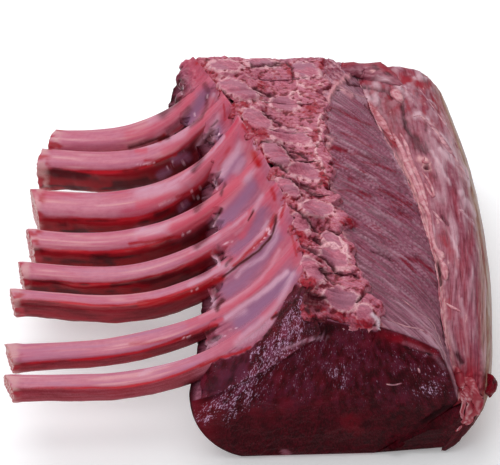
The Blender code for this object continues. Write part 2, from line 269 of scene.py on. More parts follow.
def from_line(column, row, path):
    """Distance, in the photograph, from a path of (column, row) pairs."""
    best = np.full(np.shape(column), 1e9)
    for a, b in zip(path, path[1:]):
        length = math.dist(a, b)
        dx, dy = (b[0] - a[0]) / length, (b[1] - a[1]) / length
        t = np.clip((column - a[0]) * dx + (row - a[1]) * dy, 0.0, length)
        best = np.minimum(best, np.hypot(column - a[0] - t * dx, row - a[1] - t * dy))
    return best


def oval(column, row, middle, half_long, half_wide, tilt=0.0):
    """0 in the middle of an oval seen in the photograph, 1 on its edge; tilt in degrees, clockwise."""
    a = math.radians(tilt)
    dx, dy = column - middle[0], row - middle[1]
    return np.hypot((dx * math.cos(a) + dy * math.sin(a)) / half_long,
                    (dy * math.cos(a) - dx * math.sin(a)) / half_wide)


def spot(column, row, middle, half_long, half_wide, tilt=0.0, soft=0.35):
    """A soft oval mark, 1 inside."""
    return 1 - between(1 - soft, 1 + soft, oval(column, row, middle, half_long, half_wide, tilt))


def near_paths(column, row, paths, width):
    """1 on any of some paths in the photograph, fading over a width in pixels."""
    mark = np.zeros(np.shape(column))
    for path in paths:
        mark = np.maximum(mark, np.exp(-(from_line(column, row, path) / width) ** 2))
    return mark


print("noise at a point:", round(float(noise(np.array([1.2, 3.4, 5.6]), 2.0, 1)), 3))

# %% [markdown]
# ## Streaks, stains, painted shade and painted highlights on the ribs and on the lining between them
# On the rack one skin runs over bone and muscle alike, so its streaks cross from rib to panel without
# a break. They are listed once, as paths in the photograph with a half width in pixels and a strength,
# and every piece on that side takes its marks from the same list. The black streaks are painted shade in
# the hollows between and under the ribs, over a few dark lumps of meat, and the gleam specks are painted
# highlights on wet spots.

# %% Paths of the streaks: half width and strength, then the points
STREAKS = {
    "pale": table("""1.4 0.6 140,149 160,143 175,137 190,127 205,112 214,94;
        2.5 0.4 150,122 162,116 172,109; 4.5 0.5 160,137 172,138 184,135;
        2.2 0.6 198,146 207,136 213,127 219,114; 2 0.5 209,148 212,138 216,130;
        1.4 0.7 140,190 160,186 180,179 195,167 205,159 215,149 224,137; 5 0.55 140,193 160,191 176,188;
        4 0.65 222,173 230,160 241,145; 3 0.35 236,172 243,160; 1.4 0.5 214,178 217,189;
        1.4 0.7 140,230 160,226 180,220 200,210 213,200 223,191 236,181; 5 0.5 140,233 155,232 167,230;
        1.8 1 218,215 213,224 212,231; 3.4 0.7 222,206 235,190 247,178 256,168;
        1.6 0.4 236,234 243,228 252,216; 1.4 0.6 190,253 200,248 210,241 225,231 238,222 247,213;
        2.2 0.5 247,222 256,207 262,196; 1.6 1 213,254 219,265;
        2.4 0.6 232,267 242,257 252,246 262,234 268,222; 2.6 0.6 190,285 205,279 215,271 228,264;
        1.2 0.7 225,278 230,273 238,267; 2 0.5 236,276 246,266 262,258 275,240 280,228;
        2.6 0.9 213,299 213,310; 1.5 0.7 200,318 215,310 230,302 245,292 258,282 270,268 280,250;
        2.6 0.85 226,318 240,307 255,298 270,287 286,272; 4 0.4 228,317 243,311;
        2.6 0.6 240,338 255,326 270,313 280,300 288,285 293,274; 4 0.5 238,343 252,336 266,326 274,318;
        3 0.5 205,346 215,342; 0.9 0.7 238,111 241,120 248,127; 1.2 0.7 254,135 255,150;
        1.1 0.9 287,200 280,211 277,221; 1.2 0.8 228,272 240,264 250,257 262,247 270,240 275,231 279,221;
        1.4 0.3 210,124 222,111; 1.6 0.5 140,374 170,362 200,351 222,336"""),
    "violet": table("""5.5 0.9 205,92 200,104 190,120; 3 0.8 218,128 219,138; 6 0.8 226,178 232,170 239,160;
        6.5 0.9 222,222 232,212 241,200 250,186; 5.5 0.7 236,250 246,240 256,226 262,212;
        3 0.5 210,221 216,212; 7 0.8 229,290 242,280 256,262 270,246 280,233; 3 0.4 236,290 248,272;
        7 1 240,322 254,310 266,300 278,288 290,277; 4 0.5 244,330 256,320; 3 0.7 160,175 168,171;
        4 0.6 176,160 186,157; 2.5 0.6 180,210 187,203"""),
    "rose": table("""5 0.5 130,136 150,132 165,124 180,110 190,96; 8 0.5 190,60 198,72 200,82;
        4 0.6 165,152 185,142 200,124 212,102; 2 0.7 137,151 146,150; 4 0.7 140,205 160,200 176,195 188,190;
        5 0.6 196,180 215,160 228,148 233,132; 7 0.85 175,231 195,220 213,206 226,195 236,183;
        2.5 0.7 140,239 165,236; 5 0.5 222,112 229,118 232,128; 4 0.35 225,246 242,230 248,218;
        6 0.4 192,258 210,250; 3.2 0.7 241,236 248,224 252,214; 2.5 0.4 223,233 229,224;
        4.5 0.45 190,323 210,316 230,306 250,292 265,278 275,262 284,244; 1.5 0.9 190,333 205,328 222,319;
        3 0.3 264,314 275,303;
        5 0.45 222,93 231,106 241,126 247,142 250,156 257,170 265,186 272,200 282,224 291,245 297,262;
        2.5 0.6 240,182 247,170 251,160; 4 0.35 275,262 285,250 290,232"""),
    "blood": table("""1 0.7 224,104 225,120; 1.6 0.8 243,124 250,138; 3.6 1 254,154 258,164;
        1.8 0.8 272,189 275,199; 1.1 0.8 290,227 294,244 296,256; 1.2 0.7 145,161 165,158 176,154;
        2.6 1 160,139 164,136; 1.4 0.8 176,197 190,192; 1.4 0.5 229,147 224,158 218,170;
        1.4 0.9 130,244 145,242 162,239 180,236; 2 0.6 190,265 205,259 216,252;
        2.8 1 223,277 210,284 195,291 180,297 160,302 140,304;
        2 0.85 234,266 243,258 255,245 264,237 270,226 275,216; 1.2 0.8 285,204 281,217;
        1.8 0.8 204,331 216,325; 3 0.8 298,294 304,282; 1.4 0.5 130,344 150,343 180,338 200,331;
        1.2 0.9 272,319 276,313; 1.6 0.9 200,366 220,358 240,352 250,348; 1.6 0.4 133,357 150,355;
        2 0.7 196,63 202,60"""),
    # black: painted shade in the hollows between and under the ribs, over a few dark lumps of meat
    "black": table("""2 0.9 130,147 145,143 155,139 168,137; 2.6 0.5 189,109 184,118 176,125 168,131;
        1.8 0.6 208,96 206,108 201,118 191,126; 3 0.7 194,170 201,159 206,145 211,131;
        2.4 0.6 205,84 208,90; 1 0.7 211,127 217,121; 3.2 0.7 196,209 204,199 207,186;
        1.4 0.7 225,184 221,195; 1.5 0.9 222,209 216,218 210,225; 3.2 0.7 196,246 205,239 209,230;
        1.6 0.7 231,258 226,265; 3.2 0.6 198,275 208,269; 0.8 0.9 254,210 248,220;
        1.4 1 223,277 230,272 240,264 250,257 260,249 268,241 272,234 275,226 276,217;
        2 0.9 222,300 217,309; 1.6 1 273,318 277,315; 1.4 0.7 297,230 299,241;
        2.2 0.7 186,385 210,374 240,358; 1.4 0.7 276,216 274,222; 2.5 0.7 190,338 204,335 212,331;
        3.2 0.7 183,82 184,90 182,96; 5 0.75 162,113 168,106 176,100; 2.5 0.6 172,96 177,84 180,76"""),
    # gleam: painted highlights, pale specks where wet spots catch the light
    "gleam": table("""1.4 1 195,113 195,115; 1.2 0.6 208,95 208,98; 1.3 1 219,134 219,135;
        1 0.6 136,165 146,164 154,162; 1.4 1 168,168 168,169; 1 0.8 171,165 173,162; 1 0.6 183,163 184,163;
        1 0.5 187,161 188,161; 1.2 0.6 183,152 184,152; 1.2 0.4 159,205 167,202 174,199;
        1.2 0.9 183,206 184,206; 1.2 0.8 191,191 192,191; 1 0.5 193,197 194,195; 1 0.6 198,198 198,198.5;
        1.3 0.5 200,187 201,187; 1.2 1 182,234 183,233.5; 1 1 186,232 192,229.5; 1.2 1 214,233 217,231;
        1.4 1 231,241 232,241; 1 0.8 224,244 228,242; 1.1 0.9 197,288 197,289; 1 0.8 191,291 192,291;
        2.4 1 267,229 269,233; 1 1 264,238 264.5,238; 0.9 0.9 261,242 262,241; 1 0.8 256,245 257,244;
        0.8 0.7 253,248 254,248; 1.1 0.9 183,338 194,334; 1.4 1 230,330 231,330; 1 0.8 236,328 237,328;
        1 0.8 225,336 226,335; 1.2 0.9 303,279 304,280; 1.1 0.9 301,284 300,285; 1.2 1 298,291 298,292;
        1.2 1 295,294 295,295; 1 0.8 296,299 297,300; 1.2 0.6 217,189 217,190; 1 0.6 184,86 184,88;
        1.2 0.6 180,89 182,94""")}


BACK_STREAKS = {
    # dark: painted shade in the crevices, in the groove of the seam and under the far flap
    "dark": table("""1.5 0.8 346,79 350,84; 1.2 0.6 350,84 362,87 370,88 378,91 386,90 391,95 391,98;
        1 0.6 366,105 371,112 377,122 383,132 391,143; 1.6 0.8 402,105 404,120 408,130 412,136;
        2.5 0.8 413,136 418,138; 4 0.7 415,140 420,146 425,150; 2.2 0.9 427,167 427.5,168;
        0.8 0.5 393,143 398,155 404,170 410,185 415,198; 1 0.8 443,217 448,224;
        1.3 0.9 437,262 439,272 440,285; 0.8 0.4 441,290 443,330 446,350 449,370;
        1.2 0.6 450,380 452,392 455,402; 2.2 0.9 457,355 460,359 462,362; 0.9 0.6 372,250 384,256 392,262;
        0.9 0.4 350,290 362,297 374,303"""),
    "red": table("""2.6 0.9 369,105 375,112 381,122 387,132 394,143;
        3.5 0.8 350,66 362,64 375,67 385,73 396,79; 2.6 0.8 404,80 412,80; 3.6 0.9 417,84 427,85;
        2 1 424,73 426,75; 3.2 0.9 437,96 444,106 450,115 455,121;
        2.5 0.7 440,107 446,118 452,130 456,138 460,145; 2.2 0.7 405,165 409,175 412,185;
        1 0.7 330,106 342,112 355,118 370,125; 1 0.7 340,132 355,137 372,147; 1 0.6 350,152 362,155 375,160;
        1 0.7 362,161 380,165 395,172; 1.3 0.8 378,190 395,197 410,205; 1.2 0.7 340,190 352,192;
        2.4 0.9 342,217 350,220 356,224; 2.2 0.8 327,228 334,233; 1.3 0.8 320,150 330,147 340,150;
        1.6 0.7 350,178 352,179; 1.6 0.8 410,258 422,262 432,270; 1.2 0.7 360,192 372,197;
        1.3 0.6 398,212 412,218; 2 0.5 448,300 450,318; 2.4 0.4 452,250 458,266; 2 0.5 440,236 446,244;
        5 0.8 456,374 461,384"""),
    "silver": table("""2.5 0.95 414,116 420,115 428,120 436,130 445,143 455,158 465,172 475,186 482,200;
        4 0.8 445,143 450,150 456,160; 1.8 0.8 440,150 455,165 470,185; 1 0.8 430,100 440,112 445,125;
        1 0.9 360,96 367,104 376,120 384,136 390,150 398,165 405,180 412,195 418,205;
        2.5 0.7 345,92 358,96 367,101; 6 0.5 330,89 350,90; 2 0.9 390,80 403,88; 2 0.9 415,78 425,79;
        2 0.8 430,87 431,88; 2 0.8 460,192 460,194; 2.2 0.7 465,200 470,207 475,215;
        0.8 0.9 460,210 470,220 476,230; 1.3 0.6 330,195 350,205; 1.3 0.6 370,210 385,216 400,225;
        1 0.5 345,165 360,172 378,180; 1 0.5 338,140 352,146 366,154; 1.1 0.5 360,236 380,245 400,256;
        1.1 0.5 352,262 375,275 398,290; 1.3 0.6 372,312 390,322 410,335 425,348;
        1.1 0.6 395,300 412,314 428,330 438,348; 3 0.8 432,335 440,352 448,368 456,385 463,404;
        1.2 0.5 444,226 452,240 458,256; 1.2 0.6 430,150 440,166 450,184; 1.6 0.4 462,300 466,330 468,356"""),
    "fat": table("""1.3 0.9 373,71 374,71; 2.5 0.8 420,159 426,162;
        0.9 0.7 424,164 430,164 431,170 426,171 423,168 424,164;
        2 0.8 350,76 343,81 335,88 330,97 325,108 322,118;
        1.6 0.7 323,118 321,130 324,140 318,150 324,162 329,174 332,184; 1.8 0.6 334,84 344,92 352,96;
        2 0.6 324,134 332,140 327,148; 1.6 0.5 327,160 331,176; 1.4 0.5 336,215 345,236"""),
    "tan": table("""5 0.7 458,130 467,145 475,170 484,195 490,230""")}


def path_marks(co, streaks, size, wobble, seed, power):
    """Marks of listed streaks at points of the rack; noise of some pixels frays their edges."""
    column, row = (seen + wobble * layered(co + 30.0 * n, size, seed + n)
                   for n, seen in enumerate(seen_at(co)))
    fine = layered(co, 1.6, 63, 2)
    marks = {}
    for label, rows in streaks.items():
        marks[label] = np.zeros(len(co))
        for width, strength, *path in rows:
            reach = from_line(column, row, path) / width
            # gleam marks are painted highlights, broken into small specks
            if label == "gleam":
                reach = reach * (1 + 0.8 * fine)
                mark = 0.75 * strength * (1 - between(0.4, 1.2, reach)) * between(-0.5, 0.1, fine)
            else:
                mark = strength * np.exp(-np.abs(reach / 1.2) ** power)
            marks[label] = np.maximum(marks[label], mark)
    return marks


def streak_marks(co):
    return path_marks(co, STREAKS, 6.0, 1.1, 61, 2.6)


def back_marks(co):
    return path_marks(co, BACK_STREAKS, 5.0, 1.3, 71, 2.4)


def back_relief(marks):
    """Streaks of fat and silvery skin stand out a little; dark streaks, painted shade in the crevices,
    in the groove of the seam and under the flap, lie deep.
    """
    return 0.45 * marks["silver"] + 0.7 * marks["fat"] - 1.3 * marks["dark"] - 0.3 * marks["red"]


print("streaks:", {label: len(streaks) for label, streaks in STREAKS.items()})

# %% [markdown]
# ## From points to a mesh
# Every big piece is a row of rings, closed by a cap at each end. The cap is made of ever smaller
# rings, so that a cut face has as many points as the outside. Marks such as fat, blood and glints,
# which are painted highlights, are kept as attributes of the points, which the finishes read.

# %% Meshes from rings
def mesh_object(name, co, faces):
    mesh = bpy.data.meshes.new(name)
    mesh.from_pydata([tuple(p) for p in ((co + SHIFT) * MM).tolist()], [], faces)
    for face in mesh.polygons:
        face.use_smooth = True
    mesh.update()
    return placed(name, mesh)


def give_marks(body, marks, lay=None):
    """Marks are numbers from 0 to 1; lay holds the fibres' own coordinates, in millimetres."""
    for label, values in marks.items():
        layer = body.data.attributes.get(label) or body.data.attributes.new(label, "FLOAT", "POINT")
        layer.data.foreach_set("value", np.clip(values, 0, 1).astype(np.float32).ravel())
    if lay is not None:
        layer = body.data.attributes.new("lay", "FLOAT_VECTOR", "POINT")
        layer.data.foreach_set("vector", np.ascontiguousarray(lay, np.float32).ravel())


def spots_of(body):
    """The points of a piece, in millimetres on the rack's own lines, and their normals."""
    co, out = (np.zeros(len(body.data.vertices) * 3, np.float32) for _ in range(2))
    body.data.vertices.foreach_get("co", co)
    body.data.vertex_normals.foreach_get("vector", out)
    return co.reshape(-1, 3).astype(float) / MM - SHIFT, out.reshape(-1, 3).astype(float)


def swell(body, co, out, relief):
    """Moves the points of a piece out by a relief in millimetres."""
    co += out * relief[:, None]
    body.data.vertices.foreach_set("co", ((co + SHIFT) * MM).astype(np.float32).ravel())
    body.data.update()


LEAN = 4.5                   # how far the near cut leans back at its top
LEAN_HEIGHTS = (34.0, 84.0)
LEAN_REACH = 26.0


def lean(co):
    """Leans the near cut back at its top."""
    back = LEAN * between(*LEAN_HEIGHTS, co[..., 2]) * (1 - between(FRONT, FRONT + LEAN_REACH, co[..., 1]))
    return co + points(0, back, 0)


def end_rings(ring, middle, rows, domed):
    """Ever smaller rings from a ring to its middle, flat or swelling outwards."""
    made = []
    for t in np.arange(1, rows) / rows:
        made.append(mix(ring, middle, t))
        if domed:
            made[-1][:, 1] = mix(ring[:, 1], middle[1], 1 - (1 - t) ** 2.2)
    return made


def closed(name, rings, near_rows=3, far_rows=3, middles=None, domed=False, leaning=True):
    """A closed piece through rings, shaped (rings, points, 3), and the ring on which each point is."""
    count = rings.shape[1]
    near, far = middles or (rings[0].mean(0), rings[-1].mean(0))
    stack = [*end_rings(rings[0], near, near_rows, domed)[::-1], *rings,
             *end_rings(rings[-1], far, far_rows, domed)]
    co = np.concatenate([*stack, [near], [far]])
    rows = len(stack)
    turn = [(k, (k + 1) % count) for k in range(count)]
    faces = [(a + k, a + n, a + count + n, a + count + k)
             for a in range(0, (rows - 1) * count, count) for k, n in turn]
    last = (rows - 1) * count
    for k, n in turn:
        faces += [(rows * count, n, k), (rows * count + 1, last + k, last + n)]
    body = mesh_object(name, lean(co) if leaning else co, faces)
    outwards(body)
    return body, np.append(np.repeat(np.arange(rows), count), [0, rows - 1])


def on_rings(values, row, end):
    """One ring's values for the points of a closed piece, with another value in the middles of its ends."""
    return np.concatenate([np.tile(values, row[-1] + 1), [end, end]])


def stations(first, last, count, bunch=0.6):
    t = np.linspace(0.0, 1.0, count)
    return mix(first, last, mix(t, 0.5 - 0.5 * np.cos(math.pi * t), bunch))


def outwards(body):
    """Turns the faces out where the rings ran the other way."""
    work = bmesh.new()
    work.from_mesh(body.data)
    if work.calc_volume(signed=True) < 0:
        bmesh.ops.reverse_faces(work, faces=work.faces[:])
        work.to_mesh(body.data)
    work.free()
    body.data.update()


def keep(body, nodes, finish):
    """Gives a piece its finish, hangs it from the root and hides the solids that it stands for."""
    body.data.materials.clear()
    body.data.materials.append(finish)
    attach(body, "root")
    if nodes:
        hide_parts(*nodes)
    print(body.name, "has", sum(len(p.vertices) - 2 for p in body.data.polygons), "triangles")


# %% [markdown]
# ## Finishes
# Shader maths reads best as a formula. A small class wraps a socket, so that `1 - fat * 0.5` adds the
# nodes by itself. A finish starts from one flesh tone, lays other tones over it where the marks say,
# and adds fine fibres and gloss that are too small for the mesh.

# %% Shader formulas
class Value:
    """A socket that holds a number, for formulas."""

    def __init__(self, nodes, socket):
        self.nodes = nodes
        self.socket = socket

    def work(self, operation, *others, clamp=False):
        return self.nodes.sum(operation, self, *others, clamp=clamp)

    def __add__(self, other):
        return self.work("ADD", other)

    def __mul__(self, other):
        return self.work("MULTIPLY", other)

    __radd__, __rmul__ = __add__, __mul__

    def __sub__(self, other):
        return self.work("SUBTRACT", other)

    def __rsub__(self, other):
        return self.nodes.sum("SUBTRACT", other, self)

    def step(self, low, high):
        return self.nodes.node("ShaderNodeMapRange", {"interpolation_type": "SMOOTHSTEP"},
                               {"Value": self, "From Min": low, "From Max": high})

    def clip(self):
        return self.work("ADD", 0.0, clamp=True)


class Nodes:
    """Adds nodes to a tree by short calls."""

    def node(self, kind, settings=None, inputs=None, output=0):
        made = self.tree.nodes.new(kind)
        for key, value in (settings or {}).items():
            setattr(made, key, value)
        for key, value in (inputs or {}).items():
            self.feed(made.inputs[key], value)
        return Value(self, made.outputs[output])

    def feed(self, socket, value):
        value = getattr(value, "socket", value)
        if isinstance(value, bpy.types.NodeSocket):
            self.tree.links.new(value, socket)
        else:
            socket.default_value = value

    def sum(self, operation, *values, clamp=False):
        settings = {"operation": operation, "use_clamp": clamp}
        return self.node("ShaderNodeMath", settings, dict(enumerate(values)))


def tone(red, green, blue):
    """A colour as the eye sees it, 0 to 255, as the light that a surface gives back."""
    return tuple((c / 255 / 12.92) if c < 10.3 else ((c / 255 + 0.055) / 1.055) ** 2.4
                 for c in (red, green, blue)) + (1.0,)


class Finish(Nodes):
    """A material whose nodes are added by short calls."""

    def __init__(self, name, shine):
        self.material = bpy.data.materials.new(name)
        self.material.use_nodes = True
        self.tree = self.material.node_tree
        self.shader = self.tree.nodes["Principled BSDF"]
        self.show(**{label.replace(" ", "_"): value for label, value in shine.items()})

    def mark(self, label):
        return self.node("ShaderNodeAttribute", {"attribute_name": label}, output="Fac")

    def scaled(self, vector, stretch, unit=1.0):
        scale = tuple(unit / s for s in stretch)
        return self.node("ShaderNodeMapping", {"vector_type": "POINT"}, {"Vector": vector, "Scale": scale})

    def place(self, stretch):
        """Object coordinates in millimetres, stretched."""
        return self.scaled(self.node("ShaderNodeTexCoord", output="Object"), stretch, 1000.0)

    def grain(self, where, detail=3.0, rough=0.55):
        return self.node("ShaderNodeTexNoise", None,
                         {"Vector": where, "Scale": 1.0, "Detail": detail, "Roughness": rough})

    def blend(self, under, over, share):
        return self.node("ShaderNodeMix", {"data_type": "RGBA"}, {0: share, 6: under, 7: over}, output=2)

    def show(self, **inputs):
        for label, value in inputs.items():
            self.feed(self.shader.inputs[label.replace("_", " ")], value)


WET = {"IOR": 1.22, "Coat Roughness": 0.14, "Coat IOR": 1.4, "Subsurface Weight": 0.05,
       "Subsurface Radius": (1.0, 0.25, 0.15), "Subsurface Scale": 0.0015}


# %% [markdown]
# ## The flesh tones
# The same few tissues come back all over the rack: dark cut muscle, mauve muscle under a silvery
# skin, clean bone under its pink skin, sawn bone, and cream fat. A tissue is two tones mixed by its
# fibres, and a list of marks that bring in other tones. The fibres follow an attribute called lay,
# whose first axis runs along them, because a pattern fixed in space would break up on a curved
# surface. A finish is one tissue, or a few of them shared out by marks.

# %% Tissues and finishes
def tissue(f, base, second, stretch, rough, coat, tones, mottle=2.5, contrast=1.0, pore=None, glint=None):
    """The colour, height, roughness and coat of one tissue, as sockets. base and second are the tones
    that its fibres mix, tones is text with a mark and a colour each, and glint paints highlights of wet
    specks into the colour."""
    lay = f.node("ShaderNodeAttribute", {"attribute_name": "lay"}, output="Vector")
    fibre = f.grain(f.scaled(lay, stretch), detail=4.0, rough=0.6)
    blotch = f.grain(f.place((mottle,) * 3))
    speck = f.grain(f.place((0.5,) * 3), detail=2.0)
    share = (fibre * 0.65 + blotch * 0.35).step(0.5 - 0.17 / contrast, 0.5 + 0.17 / contrast)
    colour = f.blend(tone(*base), tone(*second), share)
    for label, shade in (row.split() for row in tones.split(";")):
        mark = f.mark(label)
        edge = mark * (1 - mark) * 4.0
        ragged = mark + edge * ((fibre - 0.5) * 0.9 + (speck - 0.5) * 0.5)
        colour = f.blend(colour, tone(*map(int, shade.split(","))), ragged.clip())
    gloss = (speck * 0.5 + fibre * 0.5).step(0.3, 0.7)
    height = fibre * 0.7 + speck * 0.3
    # glint: painted highlights, pale specks blended into the colour; the coat they add is real gloss
    if glint:
        size, shade = glint
        sparkle = f.grain(f.scaled(lay, size), detail=2.0, rough=0.7)
        shown = (sparkle + (f.mark("glint") - 0.5) * 0.22).step(0.63, 0.72)
        colour = f.blend(colour, tone(*shade), shown * (f.mark("glint") * 0.6 + 0.16))
        height = height + sparkle
        coat = shown * 0.5 + coat
    if pore:
        size, depth = pore
        pit = f.node("ShaderNodeTexVoronoi", None, {"Vector": f.place((size,) * 3), "Scale": 1.0}, "Distance")
        pit = pit.step(0.05, 0.55)
        height = height + pit * depth
        colour = f.blend(colour, tone(116, 40, 58), (1 - pit) * 0.4)
    return colour, height, gloss * (rough[1] - rough[0]) + rough[0], coat


def flesh(name, first, others=(), relief=0.25, shine=None):
    """first and others hold the values of tissue; each of the others comes in by a mark."""
    f = Finish(name, {**WET, **(shine or {})})
    colour, height, rough, coat = tissue(f, **first)
    for label, values in others:
        share = f.mark(label)
        over = tissue(f, **values)
        colour = f.blend(colour, over[0], share)
        height = height + (over[1] - height) * share
        rough = rough + (over[2] - rough) * share
        coat = share * (over[3] - coat) + coat
    bump = f.node("ShaderNodeBump", None, {"Height": height, "Distance": relief * MM})
    f.show(Base_Color=colour, Roughness=rough, Coat_Weight=coat, Normal=bump)
    return f.material


# the marks that the linings and the ribs share, joined on behind the marks of their own; black is painted
# shade and gleam a painted highlight
SKIN_TONES = """; violet 144,94,126; pale 206,156,176; rose 198,74,94; blood 166,8,22; black 74,6,16;
    gleam 244,196,212"""
# cut: glint is painted highlight, mauve partly membrane and partly painted sheen, dark partly painted shade
CUT = dict(base=(90, 6, 24), second=(50, 0, 6), stretch=(1.7, 0.6, 1.2), rough=(0.32, 0.52), coat=0.02,
           mottle=3.0, glint=((1.7, 0.5, 0.9), (210, 168, 200)),
           tones="mauve 124,48,80; red 132,10,30; fascia 184,130,150; dark 34,0,4")
INNER = dict(base=(162, 98, 118), second=(120, 56, 76), stretch=(12.0, 0.9, 0.9), rough=(0.36, 0.54),
             coat=0.08, contrast=1.1,
             tones="silver 184,138,152; red 128,18,40; fat 214,146,154; dark 72,14,30")
CAP = dict(base=(158, 88, 104), second=(130, 54, 72), stretch=(9.0, 0.9, 0.9), rough=(0.36, 0.56), coat=0.08,
           mottle=3.0, contrast=1.3,
           tones="tan 166,118,106; silver 204,162,172; red 152,26,44; fat 220,160,162; dark 66,10,24")
TAN = dict(base=(168, 132, 112), second=(146, 106, 92), stretch=(9.0, 1.2, 1.2), rough=(0.4, 0.6), coat=0.2,
           mottle=3.0, tones="red 140,70,72; silver 178,152,142; dark 92,14,24")
FAT = dict(base=(206, 144, 152), second=(184, 104, 120), stretch=(4.0, 0.8, 0.8), rough=(0.3, 0.5), coat=0.3,
           mottle=1.5, tones="cream 224,180,180; red 150,40,54")
LINING = dict(base=(176, 100, 122), second=(144, 66, 90), stretch=(16.0, 0.9, 0.9), rough=(0.24, 0.4),
              coat=0.18, mottle=3.0, tones="pink 188,98,122; meat 112,30,48; dark 48,6,14" + SKIN_TONES)
RIB = dict(base=(196, 118, 136), second=(184, 98, 120), stretch=(14.0, 1.0, 1.0), rough=(0.28, 0.42),
           coat=0.15,
           tones="""mauve 172,110,140; blush 186,60,88; cream 216,162,164; meat 136,10,24; line 196,18,36;
               brown 120,44,44; dark 58,4,12; sawn 206,156,154; marrow 170,50,62""" + SKIN_TONES)
BONE = dict(base=(202, 118, 138), second=(160, 70, 92), stretch=(4.0, 0.7, 0.9), rough=(0.3, 0.55), coat=0.16,
            mottle=2.0, pore=(0.7, 0.3),
            tones="grey 166,102,122; rim 232,176,182; red 156,24,42; dark 74,8,22; cartilage 222,192,202")
finishes = {
    "loin": flesh("loin_flesh", INNER, [("cut", CUT)], relief=0.35, shine={"IOR": 1.14}),
    "muscle": flesh("cut_muscle", CUT, relief=0.4, shine={"IOR": 1.14}),
    "cap": flesh("cap_skin", CAP, [("cut", CUT)], relief=0.3),
    "tan": flesh("back_skin", TAN, relief=0.35),
    "fat": flesh("seam_fat", FAT, relief=0.2),
    "rib": flesh("rib_skin", RIB, relief=0.1),
    "lining": flesh("rib_lining", LINING, relief=0.14),
    "edge": flesh("lining_to_cut", LINING, [("cut", CUT)], relief=0.3),
    "bone": flesh("sawn_bone", BONE, relief=0.3),
}
print("finishes:", ", ".join(finishes))

# %% [markdown]
# ## The ribs
# Each bone is one section carried along a curved path: a flat oval that turns up towards the spine.
# Curve to Mesh scales its profile by one radius only, and a rib is wide and low at the tip and
# narrow at the spine. So Geometry Nodes bend a plain cylinder instead: every ring of it looks up a
# point of the path, and that point says where the ring goes, how wide it is and how deep.

# %% Geometry Nodes that carry a flat oval along a path
class Tree(Nodes):
    """A Geometry Nodes tree with named inputs."""

    def __init__(self, name):
        self.tree = bpy.data.node_groups.new(name, "GeometryNodeTree")
        for way in ("INPUT", "OUTPUT"):
            self.tree.interface.new_socket("Geometry", in_out=way, socket_type="NodeSocketGeometry")
        self.start = self.tree.nodes.new("NodeGroupInput")
        self.end = self.tree.nodes.new("NodeGroupOutput")

    def asks(self, label, kind, default):
        socket = self.tree.interface.new_socket(label, in_out="INPUT", socket_type=kind)
        socket.default_value = default
        return self.start.outputs[label]

    def vector(self, operation, a, inputs):
        return self.node("ShaderNodeVectorMath", {"operation": operation}, {0: a, **inputs})

    def read(self, label):
        return self.node("GeometryNodeInputNamedAttribute", {"data_type": "FLOAT_VECTOR"}, {"Name": label})

    def store(self, geometry, label, value):
        return self.node("GeometryNodeStoreNamedAttribute", {"data_type": "FLOAT", "domain": "POINT"},
                         {"Geometry": geometry, "Name": label, "Value": value})

    def at(self, geometry, value, index):
        """A vector of the path at the point with that number."""
        return self.node("GeometryNodeSampleIndex", {"data_type": "FLOAT_VECTOR", "domain": "POINT"},
                         {"Geometry": geometry, "Value": value, "Index": index})

    def finish(self, geometry, finish):
        whole = self.node("GeometryNodeRealizeInstances", None, {"Geometry": geometry})
        dressed = self.node("GeometryNodeSetMaterial", None, {"Geometry": whole, "Material": finish})
        self.feed(self.end.inputs["Geometry"], dressed)


def sweep_tree():
    t = Tree("sweep a flat oval")
    rounds = t.asks("Points around", "NodeSocketInt", 40)
    steps = t.asks("Steps along", "NodeSocketInt", 100)
    rows = t.asks("Rows on the ends", "NodeSocketInt", 4)
    square = t.asks("Squareness", "NodeSocketFloat", 0.55)
    finish = t.asks("Finish", "NodeSocketMaterial", None)
    path = t.start.outputs["Geometry"]
    tube = t.node("GeometryNodeMeshCylinder", {"fill_type": "TRIANGLE_FAN"},
                  {"Vertices": rounds, "Side Segments": steps, "Fill Segments": rows,
                   "Radius": 1.0, "Depth": 2.0})
    here = t.node("GeometryNodeInputPosition")
    x, y, z = t.node("ShaderNodeSeparateXYZ", None, {0: here}).socket.node.outputs
    u = t.sum("MULTIPLY_ADD", z, 0.5, 0.5)
    reach = t.sum("SQRT", t.sum("ADD", t.sum("MULTIPLY", x, x), t.sum("MULTIPLY", y, y)))
    safe = t.sum("MAXIMUM", reach, 1e-4)

    def squared(value):
        part = t.sum("DIVIDE", value, safe)
        bent = t.sum("POWER", t.sum("ABSOLUTE", part), square)
        return t.sum("MULTIPLY", t.sum("MULTIPLY", bent, t.sum("SIGN", part)), reach)

    across = squared(x)
    depth = t.sum("MULTIPLY_ADD", squared(y), -0.5, 0.5)
    index = t.node("FunctionNodeFloatToInt", {"rounding_mode": "ROUND"}, {0: t.sum("MULTIPLY", u, steps)})
    middle = t.at(path, t.node("GeometryNodeInputPosition"), index)
    side, down = (t.at(path, t.read(label), index) for label in ("side", "down"))
    place = t.vector("ADD", middle, {1: t.vector("SCALE", side, {"Scale": across})})
    place = t.vector("ADD", place, {1: t.vector("SCALE", down, {"Scale": depth})})
    made = tube
    for label, value in (("u", u), ("across", across), ("depth", depth)):
        made = t.store(made, label, value)
    made = t.node("GeometryNodeSetPosition", None, {"Geometry": made, "Position": place})
    t.finish(made, finish)
    return t.tree


SWEEP = sweep_tree()


def path_object(name, middle, side, down):
    """Points along a path, with the half width and the depth there as vectors."""
    mesh = bpy.data.meshes.new(name)
    co = ((middle + SHIFT) * MM).tolist()
    mesh.from_pydata(co, [(k, k + 1) for k in range(len(co) - 1)], [])
    for label, values in (("side", side), ("down", down)):
        layer = mesh.attributes.new(label, "FLOAT_VECTOR", "POINT")
        layer.data.foreach_set("vector", (values * MM).astype(np.float32).ravel())
    return placed(name, mesh)


